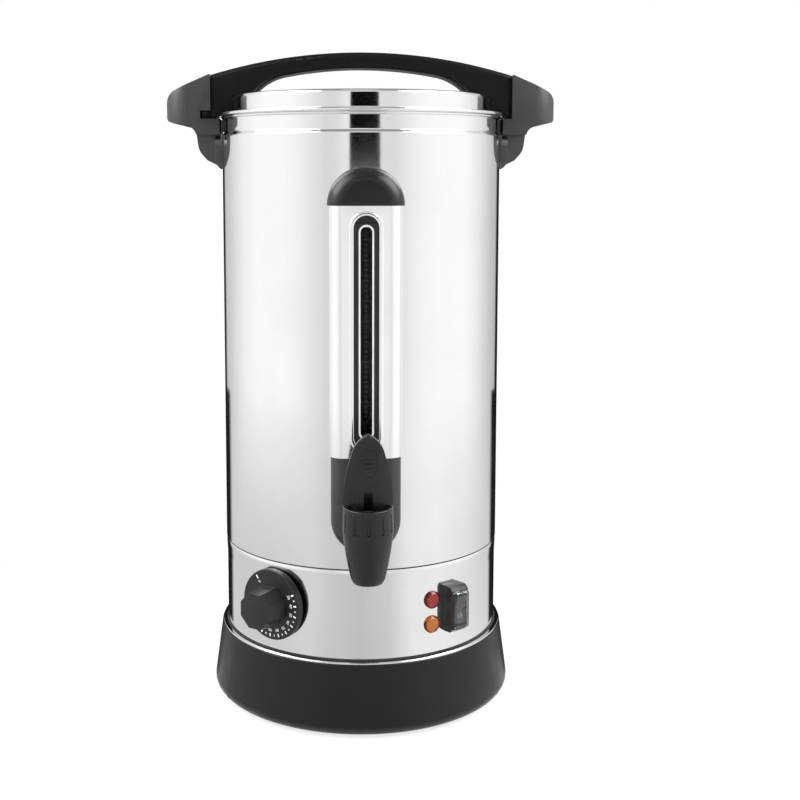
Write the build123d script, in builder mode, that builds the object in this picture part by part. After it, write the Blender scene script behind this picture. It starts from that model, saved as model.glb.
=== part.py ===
from build123d import *
import os
from math import cos, radians, sin, sqrt

# Hot water urn: a stainless tank on a control skirt and a black base, with a
# twist-off lid, a sight gauge and a pull tap. Millimetres, +Z up. The origin
# is on the tank's axis at the level of the feet's soles, and the tap points
# along -Y.

os.makedirs("parts", exist_ok=True)

# ---------------------------------------------------------------- sizes ----
# Sheet, walls and clearances
sheet = 0.8              # stainless sheet of tank, skirt, lid and gauge cover
slip = 0.1               # pieces that slide together by hand and then stay
running = 0.06           # radial clearance of a shaft in its own bearing
clear = 0.3              # curved faces of pieces that move past each other
curl_radius = 1.5        # rolled steel edges
small_screw = 2.0        # radius of the thread
small_head = 3.6
small_head_height = 2.0
tab_thickness = 0.8      # flat terminals
wide_tab = 6.3
narrow_tab = 4.8
tab_length = 8.0

# Drum and base, from the feet upwards
foot_proud = 1.5
base_height = 54.5
skirt_height = 73.0
body_height = 327.5
neck_height = 15.0
body_radius = 112.0
skirt_step = 0.7         # skirt, neck and lid stand inside the drum's radius
neck_step = 1.5
lid_step = 8.0
tank_floor_rise = 18.0   # tank floor above the seam with the skirt
spigot_depth = 12.0      # tank floor's skirt below the seam
shank_rise = 36.0        # tap's shank above the seam

skirt_radius = body_radius - skirt_step
neck_radius = body_radius - neck_step
lid_radius = body_radius - lid_step
rim_z = foot_proud
base_top = rim_z + base_height
seam_z = base_top + skirt_height
shoulder_z = seam_z + body_height
mouth_z = shoulder_z + neck_height
floor_z = seam_z + tank_floor_rise
shank_z = seam_z + shank_rise
tank_bore = body_radius - sheet
skirt_bore = skirt_radius - sheet
neck_bore = neck_radius - sheet

# Base
base_wall = 2.6
base_lip = 4.7           # base's top edge outside the skirt
base_flare = 7.4         # foot edge outside the top edge
base_corner = 8.0
base_lip_round = 0.8
rim_width = 19.4
ledge_depth = 9.0        # how far the skirt sinks into the base
ledge_width = 4.0
notch_width = 5.0
notch_height = 6.0
notch_angles = (-117, -63, 63, 117)
plate_rise = 5.0         # base plate above the rim
plate_thickness = 1.0
plate_inset = 0.5        # plate's edge inside the rim's bore
boss_inset = 7.5         # bosses inside the plate's edge
boss_radius = 5.0
boss_height = 32.0
boss_count = 4
base_screw_length = 12.0
foot_circle = 82.0
foot_radius = 10.0
foot_edge = 1.0
foot_stem_radius = 4.0
foot_bulb_radius = 5.5
foot_bulb_height = 3.0
vent_count = 12
vent_circle = 52.0
vent_length = 24.0
vent_width = 4.0

base_top_radius = skirt_radius + base_lip
base_foot_radius = base_top_radius + base_flare
rim_bore = base_foot_radius - rim_width
plate_radius = rim_bore - plate_inset
boss_circle = plate_radius - boss_inset

# Lid and its bar
seal_thickness = 1.2
lid_rise = 14.8          # lid's top above its flange
flange_overhang = 4.0    # lid's flange outside the drum
lid_corner = 3.0
step_fillet = 1.2
bar_rise = 34.2          # top of the bar above the lid
bar_thickness = 12.6
bar_width = 28.0
bar_foot = 17.7          # from the finger gap's end to the lid's step
bar_overhang = 5.2       # bar's end outside the lid's flange
bar_round = 3.5
bar_gap_rise = 9.5       # height of the gap near its ends, and further in
bar_gap_shoulder = 15.8
bar_shoulder_drop = 18.3 # how much lower the bar's top is at its ends
bar_screw_inset = 8.5    # from the lid's step
bar_screw_y = 8.0
bar_screw_length = 10.0
seal_lip = 6.0           # the lip's depth inside the neck
seal_lip_thickness = 1.2

flange_radius = body_radius + flange_overhang
bar_end = flange_radius + bar_overhang
bar_half_gap = lid_radius - bar_foot
bar_screw_x = lid_radius - bar_screw_inset

# Side handles
split_gap = 0.5          # between the lid's bar and the side handles
grip_overhang = 34.4     # grip's end outside the split
grip_crest = (0.5, 7.5)  # along the top: share of the overhang, and drop
grip_end_drop = 16.0
grip_end_rise = 10.5     # underside at the grip's end, above the shoulder
grip_throat = (0.31, 4.8)    # underside at the web: share of overhang, and rise
web_low = (0.24, 13.0)       # web's low end: share of overhang, and drop
web_foot = 32.0
grip_rounds = (60.0, 13.0, 5.0, 8.0, 14.0, 3.0)
grip_half_width = 20.0
grip_corner = 17.0
web_half_width = 14.0
pad_half_width = 20.0
pad_thickness = 5.0
pad_height = 31.0
pad_corner = 8.0
bridge_drop = 2.7        # ledge under the bar's ends, below the mouth
handle_screw = 2.5
handle_head = 4.5
handle_head_height = 3.0
handle_screw_length = 16.0
handle_screw_rises = (-23.0, -9.5)   # from the shoulder of the body
washer_radius = 7.0
washer_thickness = 1.0
tongue_depth = 6.5
tongue_height = 6.5

grip_inner = bar_end + split_gap
grip_reach = grip_inner + grip_overhang

# Sight gauge
channel_half = 27.0
channel_depth = 14.0     # front of the cover in front of the drum
channel_sink = 12.0      # how far the blanks reach into the drum before trimming
channel_corner = 11.0
channel_crown = 1.6
cover_low_rise = 52.5    # cover's low end above the tap's shank
cover_drop = 54.0        # cover's high end below the drum's shoulder
cap_overlap = 1.5        # cap stands proud of the cover by this
gauge_wall = 2.0
spigot_length = 12.0
cap_block_height = 22.0
cap_screw_rise = 15.0
cap_screw_length = 10.0
window_width = 18.5
window_margin = 7.0      # from the window's ends to the cover's ends
window_frame = 3.2
window_frame_proud = 0.5
panel_thickness = 1.2
panel_width = 23.0
tube_slot_width = 10.4
tube_slot_margin = 7.0
tube_stand = 6.4         # tube's axis in front of the drum
tube_radius = 4.0
tube_wall = 1.1
tube_seal_radius = 5.4
tube_seal_length = 9.0
nipple_radius = 6.6
nipple_rise = 43.0       # above the tap's shank
housing_end_rise = 4.0   # centre of the round end above the tap's shank

nipple_top = shank_z + nipple_rise
cover_low = shank_z + cover_low_rise
cover_high = shoulder_z - cover_drop
channel_front = body_radius + channel_depth
channel_back = body_radius - channel_sink
hollow_back = channel_back - 5.0
tube_reach = body_radius + tube_stand

# Tap
tap_stand = 48.0         # tap's axis in front of the drum
shank_radius = 9.5
shank_bore = 6.0
tap_flange_radius = 14.5
tap_flange_thickness = 3.0
barrel_radius = 18.2
chamber_radius = 13.0
chamber_drop = 10.0      # chamber's floor below the shank's axis
seat_radius = 5.5
seat_thickness = 3.0
spout_drop = 29.5
spout_radius = 12.3
spout_bore = 9.0
bonnet_rise = 8.7        # bonnet's low edge above the shank's axis
bonnet_height = 17.3
bonnet_bore = 14.6
bonnet_cup_depth = 11.0
bonnet_floor = 3.0
bonnet_plug = 7.0
groove_count = 11
groove_radius = 1.2
stem_radius = 2.2
stem_head_radius = 1.8
stem_head_length = 9.0
stem_head_rise = 6.2     # above the lever's hinge line
stem_collar_radius = 7.0
stem_collar = 1.6
cup_radius = 8.5
cup_height = 9.0
spring_radius = 4.8
spring_wire = 0.55
spring_turns = 5
nut_flats = 28.0
nut_thickness = 8.0
tap_washer_radius = 15.5
tap_washer_thickness = 2.0
tap_washer_bedding = 2.0     # part of the washer shaped to the drum
shank_proud = 5.0        # thread beyond the nut

tap_reach = body_radius + tap_stand
chamber_low = shank_z - chamber_drop
spout_low = shank_z - spout_drop
bonnet_low = shank_z + bonnet_rise
bonnet_top = bonnet_low + bonnet_height

# Lever: a leaf that rocks on the front edge of its foot
lever_offset = 6.0       # hinge line in front of the stem
lever_lift = 1.6         # leaf's low edge above the bonnet
lever_length = 50.9
lever_half_width = 17.5
lever_thickness = 6.0
lever_front_curve = 40.0
lever_foot_half = 8.0
lever_foot_depth = 14.0
lever_shares = (0.95, 0.69, 0.4)     # half-widths on the way to the tip
lever_waist_rise = 17.0
lever_tip_drops = (15.5, 5.0)
lever_web_rise = 28.0
panel_depth = 0.9        # thumb panel's recess
panel_drop = 20.5
panel_radii = (7.2, 10.5)
rib_radii = (3.8, 1.1)
rib_pitch = 3.4
slot_rises = (4.0, 9.6)  # cross slot for the stem's head, above the hinge line
slot_depth = 12.6
throat_depth = 11.6
throat_web = 4.5
throat_rise = 5.0

lever_low = bonnet_top + lever_lift
lever_tip = lever_low + lever_length

# Controls on the skirt: angles from the front, positive towards +X
knob_angle = -37.8
knob_rise = 3.7          # above the middle of the skirt's height
dial_radius = 27.5
dial_depth = 5.6
dial_gap = 1.1           # dial's rim in front of the skirt
dial_face = 2.4
grip_radius = 16.0
grip_front_radius = 14.6
grip_length = 19.4
grip_skin = 6.0          # solid end of the grip beyond the shaft
dial_edge = 0.8
dial_wall = 2.0
socket_wall = 3.0
shaft_radius = 3.0
shaft_flat = 1.4         # the flat's distance inside the shaft's surface
shaft_flat_depth = 3.0
shaft_entry = 6.0
bush_radius = 4.5
bush_proud = 0.6
thermostat_size = 32.0
thermostat_depth = 20.0
thermostat_corner = 3.0
thermostat_screw_rise = 13.0
thermostat_screw_length = 6.0
thermostat_pad = 1.5
pad_gap = 0.05           # between the pads and the skirt they're drawn up to
thermostat_tabs = (14.0, 16.0)
bulb_radius = 3.0
bulb_length = 44.0
bulb_reach = 26.0
lamp_angle = 27.5
red_lamp_rise = 8.3
amber_lamp_drop = 11.0
lens_radius = 6.8
lens_flange = 1.2
lens_dome = 2.0
lens_taper = 35.0
lens_round = 1.6
lens_stem = 3.0
lamp_stem_radius = 4.8
lamp_body_radius = 5.6
lamp_body_length = 18.0
lamp_collar = 1.5
lamp_collar_length = 2.5
lamp_tab_pitch = 5.0
switch_angle = 37.2
switch_drop = 0.1
switch_width = 17.0
switch_height = 36.0
switch_proud = 10.0
switch_bevel = 3.0
switch_wall = 1.6
switch_body_width = 13.0
switch_body_height = 29.0
switch_depth = 22.0
switch_edge = 0.8
switch_blank = 3.0       # housing's blank behind the skirt, before trimming
switch_tab_pitch = 8.0
opening_margin = 1.5     # above and below the rocker
opening_depth = 11.0
rocker_tilt = 6.0
rocker_width = 10.0
rocker_length = 22.0
rocker_proud = (2.6, 0.8)    # faces in front of the pivot, at the ends and middle
rocker_back = (2.5, 1.5)     # behind the pivot at the ends, and their inset
rocker_keel = (6.5, 3.0)
pivot_setback = 1.6      # pivot behind the housing's front
trunnion_radius = 0.9
trunnion_length = 1.5
cover_margins = (4.4, 7.4)   # wider and taller than the rocker
cover_proud = 3.4
cover_skin = 0.8
cover_rim = 1.0
cover_taper = 12.0
cover_corner = 2.0
cover_edge = 1.4
inlet_drop = 0.5
inlet_body_width = 27.0
inlet_body_height = 19.6
inlet_flange_width = 48.0
inlet_flange_height = 24.0
inlet_flange = 3.0
inlet_corner = 4.0
inlet_depth = 17.0
inlet_back = 3.0         # wall behind the socket
inlet_screw_length = 10.0
inlet_socket_width = 24.0
inlet_socket_height = 16.5
inlet_screw_reach = 20.0
pin_length = 14.0
pin_tail = 12.0
pin_section = (2.0, 4.0)
pin_places = ((-7.0, -2.0), (7.0, -2.0), (0.0, 2.5))

skirt_middle = base_top + skirt_height / 2
knob_z = skirt_middle + knob_rise
red_lamp_z = skirt_middle + red_lamp_rise
amber_lamp_z = skirt_middle - amber_lamp_drop
switch_z = skirt_middle - switch_drop
inlet_z = skirt_middle - inlet_drop

# Heater
heater_radius = 64.0
heater_thickness = 5.0
element_circle = 48.0
element_radius = 4.0
element_gap = 40.0       # angle left open between the element's two ends
element_leg = 16.0
terminal_length = 8.0
cutout_radius = 12.0
cutout_height = 14.0
cutout_tab = 6.0
cutout_tab_length = 9.0
collar_wall = 2.0
collar_height = 6.0
reset_radius = 3.0
reset_length = 10.0
reset_entry = 12.0       # how far the pin reaches into the cut-out
reset_edge = 0.5
reset_travel = 1.5


# -------------------------------------------------------------- helpers ----
def side_plane(angle, reach, height):
    """Plane facing outwards from the drum's axis, with its local Y upwards."""
    turn = radians(angle)
    outwards = (sin(turn), -cos(turn), 0)
    sideways = (cos(turn), sin(turn), 0)
    place = (reach * outwards[0], reach * outwards[1], height)
    return Plane(origin=place, x_dir=sideways, z_dir=outwards)


def section_plane(angle, reach, height):
    """Upright plane along the same direction: local X outwards, Y upwards."""
    face = side_plane(angle, reach, height)
    return Plane(origin=face.origin, x_dir=face.z_dir, z_dir=-face.x_dir)


def sheet_outline(points, radii, thickness=sheet):
    """Closed outline of a bent sheet that lies left of a line of points."""
    with BuildLine() as outline:
        FilletPolyline(*points, radius=radii)
        offset(amount=thickness, side=Side.LEFT)
    return outline.edges()


def channel_section(inset, back=channel_back):
    """The gauge channel's closed section in plan, shrunk by an inset."""
    half = channel_half - inset
    front = channel_front - inset
    shoulder = channel_crown - front
    with BuildSketch() as section:
        with BuildLine():
            Polyline((-half, shoulder), (-half, -back), (half, -back), (half, shoulder))
            ThreePointArc((-half, shoulder), (0, -front), (half, shoulder))
        make_face()
        fillet(section.vertices().group_by(Axis.Y)[0], channel_corner - inset)
    return section.sketch


def half_channel(inset, back=channel_back):
    """The right-hand half of the channel's section."""
    with BuildSketch() as section:
        add(channel_section(inset, back))
        Rectangle(channel_half * 3, channel_front * 3,
                  align=(Align.MAX, Align.CENTER), mode=Mode.SUBTRACT)
    return section.sketch


def pan_screw(thread, length, head=small_head, head_height=small_head_height):
    """One screw at the current place: head outwards, thread inwards."""
    Cylinder(thread, length, align=(Align.CENTER, Align.CENTER, Align.MAX))
    Cylinder(head, head_height, align=(Align.CENTER, Align.CENTER, Align.MIN))


# ----------------------------------------------------------------- tank ----
# Drawn drum: straight wall, a joggle into the neck and a rolled mouth.
handle_screw_zs = [shoulder_z + rise for rise in handle_screw_rises]
cap_screw_z = cover_high + cap_screw_rise
with BuildPart() as tank_shell:
    with BuildSketch(Plane.XZ):
        make_face(sheet_outline(
            [(body_radius, seam_z + clear), (body_radius, shoulder_z - 1),
             (neck_radius, shoulder_z + 1.5), (neck_radius, mouth_z - curl_radius)],
            [2.5, 2.5]))
        with Locations((neck_bore + curl_radius, mouth_z - curl_radius)):
            Circle(curl_radius)
    revolve(axis=Axis.Z)
    for angle in (-90, 90):
        for height in handle_screw_zs:
            with BuildSketch(side_plane(angle, 0, height)):
                Circle(handle_screw + slip)
            extrude(amount=body_radius + 1, mode=Mode.SUBTRACT)
    with BuildSketch(side_plane(0, 0, shank_z)):
        Circle(shank_radius + slip)
    extrude(amount=body_radius + 1, mode=Mode.SUBTRACT)
    with BuildSketch(side_plane(0, 0, cap_screw_z)):
        Circle(small_screw + slip)
    extrude(amount=body_radius + 1, mode=Mode.SUBTRACT)
tank_shell.part.label = "tank_shell"

# Floor pressed with a skirt that spigots into the drum above and the
# control skirt below.
with BuildPart() as tank_bottom:
    with BuildSketch(Plane.XZ):
        make_face(sheet_outline(
            [(skirt_bore - slip / 2, seam_z - spigot_depth), (skirt_bore - slip / 2, seam_z - 1.5),
             (tank_bore - slip / 2, seam_z + 1.5), (tank_bore - slip / 2, floor_z), (0, floor_z)],
            [1.5, 1.5, 4]))
    revolve(axis=Axis.Z)
tank_bottom.part.label = "tank_bottom"
floor_under = floor_z - sheet

# -------------------------------------------------------- control skirt ----
# Cylinder under the drum with a rolled top edge and cut-outs for the controls.
ledge_z = base_top - ledge_depth
bead_z = seam_z - curl_radius
with BuildPart() as control_skirt:
    with BuildSketch(Plane.XZ):
        with Locations((skirt_bore, ledge_z)):
            Rectangle(sheet, bead_z - ledge_z, align=(Align.MIN, Align.MIN))
        with Locations((skirt_bore + curl_radius, bead_z)):
            Circle(curl_radius)
    revolve(axis=Axis.Z)
    with BuildSketch(side_plane(knob_angle, 0, knob_z)):
        Circle(bush_radius + slip)
        with GridLocations(0, 2 * thermostat_screw_rise, 1, 2):
            Circle(small_screw + slip)
    extrude(amount=skirt_radius + 1, mode=Mode.SUBTRACT)
    for height in (red_lamp_z, amber_lamp_z):
        with BuildSketch(side_plane(lamp_angle, 0, height)):
            Circle(lamp_stem_radius + slip)
        extrude(amount=skirt_radius + 1, mode=Mode.SUBTRACT)
    with BuildSketch(side_plane(switch_angle, 0, switch_z)):
        Rectangle(switch_body_width + 2 * slip, switch_body_height + 2 * slip)
    extrude(amount=skirt_radius + 1, mode=Mode.SUBTRACT)
    with BuildSketch(side_plane(180, 0, inlet_z)):
        Rectangle(inlet_body_width + 2 * slip, inlet_body_height + 2 * slip)
        with GridLocations(2 * inlet_screw_reach, 0, 2, 1):
            Circle(small_screw + slip)
    extrude(amount=skirt_radius + 1, mode=Mode.SUBTRACT)
control_skirt.part.label = "control_skirt"

# ----------------------------------------------------------------- base ----
# Moulded flared ring: ledge for the skirt, flat rim, bosses for the base
# plate, and small notches in the foot edge.
plate_z = rim_z + plate_rise
plate_top = plate_z + plate_thickness
with BuildPart() as base_skirt:
    with BuildSketch(Plane.XZ):
        with BuildLine():
            FilletPolyline(
                (skirt_radius + slip, base_top), (base_top_radius, base_top),
                (base_foot_radius, rim_z), (rim_bore, rim_z), (rim_bore, rim_z + base_wall),
                (base_foot_radius - base_wall - 0.4, rim_z + base_wall),
                (base_top_radius - base_wall + 0.4, ledge_z - base_wall),
                (skirt_bore - ledge_width, ledge_z - base_wall), (skirt_bore - ledge_width, ledge_z),
                (skirt_radius + slip, ledge_z),
                radius=[0, base_lip_round, base_corner, 0, 0, base_corner - base_wall, 1.0, 0, 0, 0],
                close=True)
        make_face()
    revolve(axis=Axis.Z)
    with BuildSketch(Plane.XY.offset(plate_top)):
        with PolarLocations(boss_circle, boss_count, start_angle=180 / boss_count):
            Circle(boss_radius)
            Rectangle(base_top_radius - boss_circle, base_wall, align=(Align.MIN, Align.CENTER))
    extrude(amount=boss_height)
    with BuildSketch(Plane.XY.offset(plate_top)):
        with PolarLocations(boss_circle, boss_count, start_angle=180 / boss_count):
            Circle(small_screw + slip)
    extrude(amount=boss_height / 2, mode=Mode.SUBTRACT)
    for angle in notch_angles:
        with BuildSketch(side_plane(angle, base_foot_radius - base_corner - 1, rim_z)):
            Rectangle(notch_width, 2 * notch_height)
        extrude(amount=2 * base_corner, mode=Mode.SUBTRACT)
base_skirt.part.label = "base_skirt"

# Steel plate that closes the base: vent slots, and holes for feet, screws
# and the cut-out's reset button.
with BuildPart() as base_plate:
    with BuildSketch(Plane.XY.offset(plate_z)):
        Circle(plate_radius)
        with PolarLocations(boss_circle, boss_count, start_angle=180 / boss_count):
            Circle(small_screw + slip, mode=Mode.SUBTRACT)
        with PolarLocations(foot_circle, 4):
            Circle(foot_stem_radius + slip, mode=Mode.SUBTRACT)
        with PolarLocations(vent_circle, vent_count):
            SlotOverall(vent_length, vent_width, mode=Mode.SUBTRACT)
        Circle(reset_radius + clear, mode=Mode.SUBTRACT)
    extrude(amount=plate_thickness)
base_plate.part.label = "base_plate"

with BuildPart() as base_screws:
    with Locations(Plane(origin=(0, 0, plate_z), x_dir=(1, 0, 0), z_dir=(0, 0, -1))):
        with PolarLocations(boss_circle, boss_count, start_angle=180 / boss_count):
            pan_screw(small_screw, base_screw_length)
base_screws.part.label = "base_screws"

# Rubber feet pushed through the plate and held by a bulb above it.
with BuildPart() as one_foot:
    with BuildSketch(Plane.XZ):
        with BuildLine():
            Polyline((0, 0), (foot_radius - foot_edge, 0), (foot_radius, 1.5 * foot_edge),
                     (foot_radius - foot_edge, plate_z), (foot_stem_radius, plate_z),
                     (foot_stem_radius, plate_top), (foot_bulb_radius, plate_top),
                     (foot_stem_radius - foot_edge, plate_top + foot_bulb_height),
                     (0, plate_top + foot_bulb_height), close=True)
        make_face()
    revolve(axis=Axis.Z)
with BuildPart() as feet:
    with PolarLocations(foot_circle, 4):
        add(one_foot.part)
feet.part.label = "feet"

# ------------------------------------------------------- heating, inside ----
# Plate under the tank floor with a groove for the sheathed element.
heater_low = floor_under - heater_thickness
with BuildPart() as heater_plate:
    with BuildSketch(Plane.XZ):
        with Locations((0, heater_low)):
            Rectangle(heater_radius, heater_thickness, align=(Align.MIN, Align.MIN))
        with Locations((element_circle, heater_low)):
            Circle(element_radius, mode=Mode.SUBTRACT)
    revolve(axis=Axis.Z)
heater_plate.part.label = "heater_plate"

# Element: most of a ring, with both ends turned down to their terminals.
element_turn = 360 - element_gap
with BuildPart() as heating_element:
    with BuildSketch(Plane.XZ):
        with Locations((element_circle, heater_low)):
            Circle(element_radius)
    revolve(axis=Axis.Z, revolution_arc=element_turn)
    with BuildSketch(Plane.XY.offset(heater_low)):
        for angle in (0, element_turn):
            with PolarLocations(element_circle, 1, start_angle=angle):
                Circle(element_radius - slip)
    extrude(amount=-element_leg)
    with BuildSketch(Plane.XY.offset(heater_low - element_leg)):
        for angle in (0, element_turn):
            with PolarLocations(element_circle, 1, start_angle=angle):
                Circle(element_radius / 3)
    extrude(amount=-terminal_length)
heating_element.part.label = "heating_element"

# Boil-dry cut-out under the heater's centre, reset from below.
cutout_low = heater_low - cutout_height - collar_height
with BuildPart() as thermal_cutout:
    with BuildSketch(Plane.XY.offset(heater_low)):
        Circle(cutout_radius)
    extrude(amount=-cutout_height)
    with BuildSketch(Plane.XY.offset(heater_low - cutout_height)):
        with GridLocations(cutout_radius, 0, 2, 1):
            Rectangle(tab_thickness, cutout_tab)
    extrude(amount=-cutout_tab_length)
    with BuildSketch(Plane.XY.offset(heater_low - cutout_height)):
        Circle(reset_radius + collar_wall)
    extrude(amount=-collar_height)
    with BuildSketch(Plane.XY.offset(cutout_low)):
        Circle(reset_radius / 2 + running)
    extrude(amount=reset_entry, mode=Mode.SUBTRACT)
thermal_cutout.part.label = "thermal_cutout"

with BuildPart() as reset_button:
    with BuildSketch(Plane.XY.offset(plate_z)):
        Circle(reset_radius)
    extrude(amount=reset_length)
    with BuildSketch(Plane.XY.offset(plate_z + reset_length)):
        Circle(reset_radius / 2)
    extrude(amount=cutout_low - plate_z - reset_length + reset_entry - reset_travel - clear)
    chamfer(reset_button.edges().group_by(Axis.Z)[0], reset_edge)
reset_button.part.label = "reset_button"

# -------------------------------------------------- thermostat and knob ----
# Body hangs from a threaded bush and two screws hidden by the dial.
thermostat_front = sqrt(skirt_bore**2 - (thermostat_size / 2)**2) - clear
knob_face = skirt_radius + dial_gap
with BuildPart() as thermostat_body:
    with BuildSketch(side_plane(knob_angle, thermostat_front, knob_z)):
        RectangleRounded(thermostat_size, thermostat_size, thermostat_corner)
    extrude(amount=-thermostat_depth)
    with BuildSketch(side_plane(knob_angle, thermostat_front, knob_z)):
        Circle(bush_radius)
    extrude(amount=skirt_radius + bush_proud - thermostat_front)
    with BuildSketch(side_plane(knob_angle, thermostat_front, knob_z)):
        with GridLocations(0, 2 * thermostat_screw_rise, 1, 2):
            Circle(small_screw + thermostat_pad)
    extrude(amount=skirt_bore - pad_gap - thermostat_front)
    with BuildSketch(side_plane(knob_angle, thermostat_front, knob_z)):
        Circle(shaft_radius + running)
        with GridLocations(0, 2 * thermostat_screw_rise, 1, 2):
            Circle(small_screw + slip)
    extrude(amount=shaft_entry + 2, both=True, mode=Mode.SUBTRACT)
    with BuildSketch(side_plane(knob_angle, thermostat_front - thermostat_depth, knob_z)):
        with GridLocations(*thermostat_tabs, 2, 1):
            Rectangle(tab_thickness, wide_tab)
    extrude(amount=-tab_length)
thermostat_body.part.label = "thermostat_body"

with BuildPart() as thermostat_screws:
    with Locations(side_plane(knob_angle, skirt_radius, knob_z)):
        with GridLocations(0, 2 * thermostat_screw_rise, 1, 2):
            pan_screw(small_screw, thermostat_screw_length, head_height=dial_gap - clear)
thermostat_screws.part.label = "thermostat_screws"

# D-shaped control shaft, from inside the body to the knob's socket.
shaft_inner = thermostat_front - shaft_entry
shaft_outer = knob_face + dial_depth + grip_length - grip_skin
with BuildPart() as thermostat_shaft:
    with BuildSketch(side_plane(knob_angle, shaft_inner, knob_z)):
        Circle(shaft_radius)
    extrude(amount=shaft_outer - shaft_inner)
    with BuildSketch(side_plane(knob_angle, knob_face, knob_z)):
        with Locations((0, shaft_radius - shaft_flat)):
            Rectangle(3 * shaft_radius, shaft_flat_depth, align=(Align.CENTER, Align.MIN))
    extrude(amount=shaft_outer - knob_face, mode=Mode.SUBTRACT)
thermostat_shaft.part.label = "thermostat_shaft"

# Knob: a dished dial with a tapered eight-sided grip and a pointer notch.
dial_front = knob_face + dial_depth
with BuildPart() as thermostat_knob:
    with BuildSketch(side_plane(knob_angle, knob_face, knob_z)):
        Circle(dial_radius)
    extrude(amount=dial_depth)
    fillet(thermostat_knob.edges().filter_by(GeomType.CIRCLE), dial_edge)
    with BuildSketch(side_plane(knob_angle, knob_face, knob_z)):
        Circle(dial_radius - dial_wall)
        Circle(shaft_radius + socket_wall, mode=Mode.SUBTRACT)
    extrude(amount=dial_depth - dial_face, mode=Mode.SUBTRACT)
    with BuildSketch(side_plane(knob_angle, dial_front, knob_z)):
        RegularPolygon(grip_radius, 8, rotation=22.5)
    with BuildSketch(side_plane(knob_angle, dial_front + grip_length, knob_z)):
        RegularPolygon(grip_front_radius, 8, rotation=22.5)
    loft()
    with BuildSketch(side_plane(knob_angle, knob_face, knob_z)):
        Circle(shaft_radius + slip / 2)
        with Locations((0, shaft_radius - shaft_flat + slip / 2)):
            Rectangle(3 * shaft_radius, shaft_flat_depth, align=(Align.CENTER, Align.MIN),
                      mode=Mode.SUBTRACT)
    extrude(amount=dial_depth + grip_length - grip_skin + slip, mode=Mode.SUBTRACT)
thermostat_knob.part.label = "thermostat_knob"

# Capillary bulb clipped under the heater plate.
with BuildPart() as capillary_bulb:
    with BuildSketch(Plane.YZ):
        with Locations((-bulb_reach, heater_low - bulb_radius)):
            Circle(bulb_radius)
    extrude(amount=bulb_length / 2, both=True)
capillary_bulb.part.label = "capillary_bulb"

# ---------------------------------------------------------------- lamps ----
def lamp_lens(height):
    """A domed lens with a short stem through the skirt."""
    with BuildPart() as lens:
        with BuildSketch(side_plane(lamp_angle, skirt_radius, height)):
            Circle(lens_radius)
        extrude(amount=lens_flange)
        with BuildSketch(side_plane(lamp_angle, skirt_radius + lens_flange, height)):
            Circle(lens_radius)
        extrude(amount=lens_dome, taper=lens_taper)
        fillet(lens.edges().filter_by(GeomType.CIRCLE).sort_by(SortBy.RADIUS)[0:1], lens_round)
        with BuildSketch(side_plane(lamp_angle, skirt_radius, height)):
            Circle(lamp_stem_radius)
        extrude(amount=-lens_stem)
    return lens


red_lens = lamp_lens(red_lamp_z)
red_lens.part.label = "red_lens"
amber_lens = lamp_lens(amber_lamp_z)
amber_lens.part.label = "amber_lens"

lamp_front = skirt_radius - lens_stem
with BuildPart() as lamp_bodies:
    for height in (red_lamp_z, amber_lamp_z):
        with BuildSketch(side_plane(lamp_angle, lamp_front, height)):
            Circle(lamp_body_radius)
        extrude(amount=-lamp_body_length)
        with BuildSketch(side_plane(lamp_angle, lamp_front, height)):
            Circle(lamp_body_radius + lamp_collar)
        extrude(amount=-lamp_collar_length)
        with BuildSketch(side_plane(lamp_angle, lamp_front - lamp_body_length, height)):
            with GridLocations(lamp_tab_pitch, 0, 2, 1):
                Rectangle(tab_thickness, narrow_tab)
        extrude(amount=-tab_length)
lamp_bodies.part.label = "lamp_bodies"

# --------------------------------------------------------------- switch ----
# Splash housing outside the skirt and the switch body inside it, in one.
switch_front = skirt_radius + switch_proud
rocker_pivot = switch_front - pivot_setback
switch_face = side_plane(switch_angle, switch_front, switch_z)
switch_outwards = Axis((0, 0, 0), switch_face.z_dir)
with BuildPart() as switch_housing:
    with BuildSketch(section_plane(switch_angle, skirt_radius, switch_z)):
        with BuildLine():
            half = switch_height / 2
            Polyline((-switch_blank, -half), (switch_proud - switch_bevel, -half),
                     (switch_proud, switch_bevel - half), (switch_proud, half - switch_bevel),
                     (switch_proud - switch_bevel, half), (-switch_blank, half), close=True)
        make_face()
    extrude(amount=switch_width / 2, both=True)
    side_edges = switch_housing.edges().filter_by(
        lambda edge: abs(edge.tangent_at(0.5).dot(switch_face.x_dir)) < 0.1)
    fillet(side_edges.sort_by(switch_outwards)[2:], switch_edge)
    Cylinder(skirt_radius + slip / 4, 2 * mouth_z, mode=Mode.SUBTRACT)
    with BuildSketch(side_plane(switch_angle, skirt_radius + 1, switch_z)):
        Rectangle(switch_body_width, switch_body_height)
    extrude(amount=-switch_depth)
    with BuildSketch(switch_face):
        Rectangle(rocker_width + 2 * clear, rocker_length + 2 * opening_margin)
    extrude(amount=-opening_depth, mode=Mode.SUBTRACT)
    with BuildSketch(section_plane(switch_angle, rocker_pivot, switch_z)):
        Circle(trunnion_radius + running)
    extrude(amount=rocker_width / 2 + trunnion_length + slip, both=True, mode=Mode.SUBTRACT)
    with BuildSketch(side_plane(switch_angle, skirt_radius + 1 - switch_depth, switch_z)):
        with GridLocations(0, switch_tab_pitch, 1, 3):
            Rectangle(wide_tab, tab_thickness)
    extrude(amount=-tab_length)
switch_housing.part.label = "switch_housing"

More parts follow.
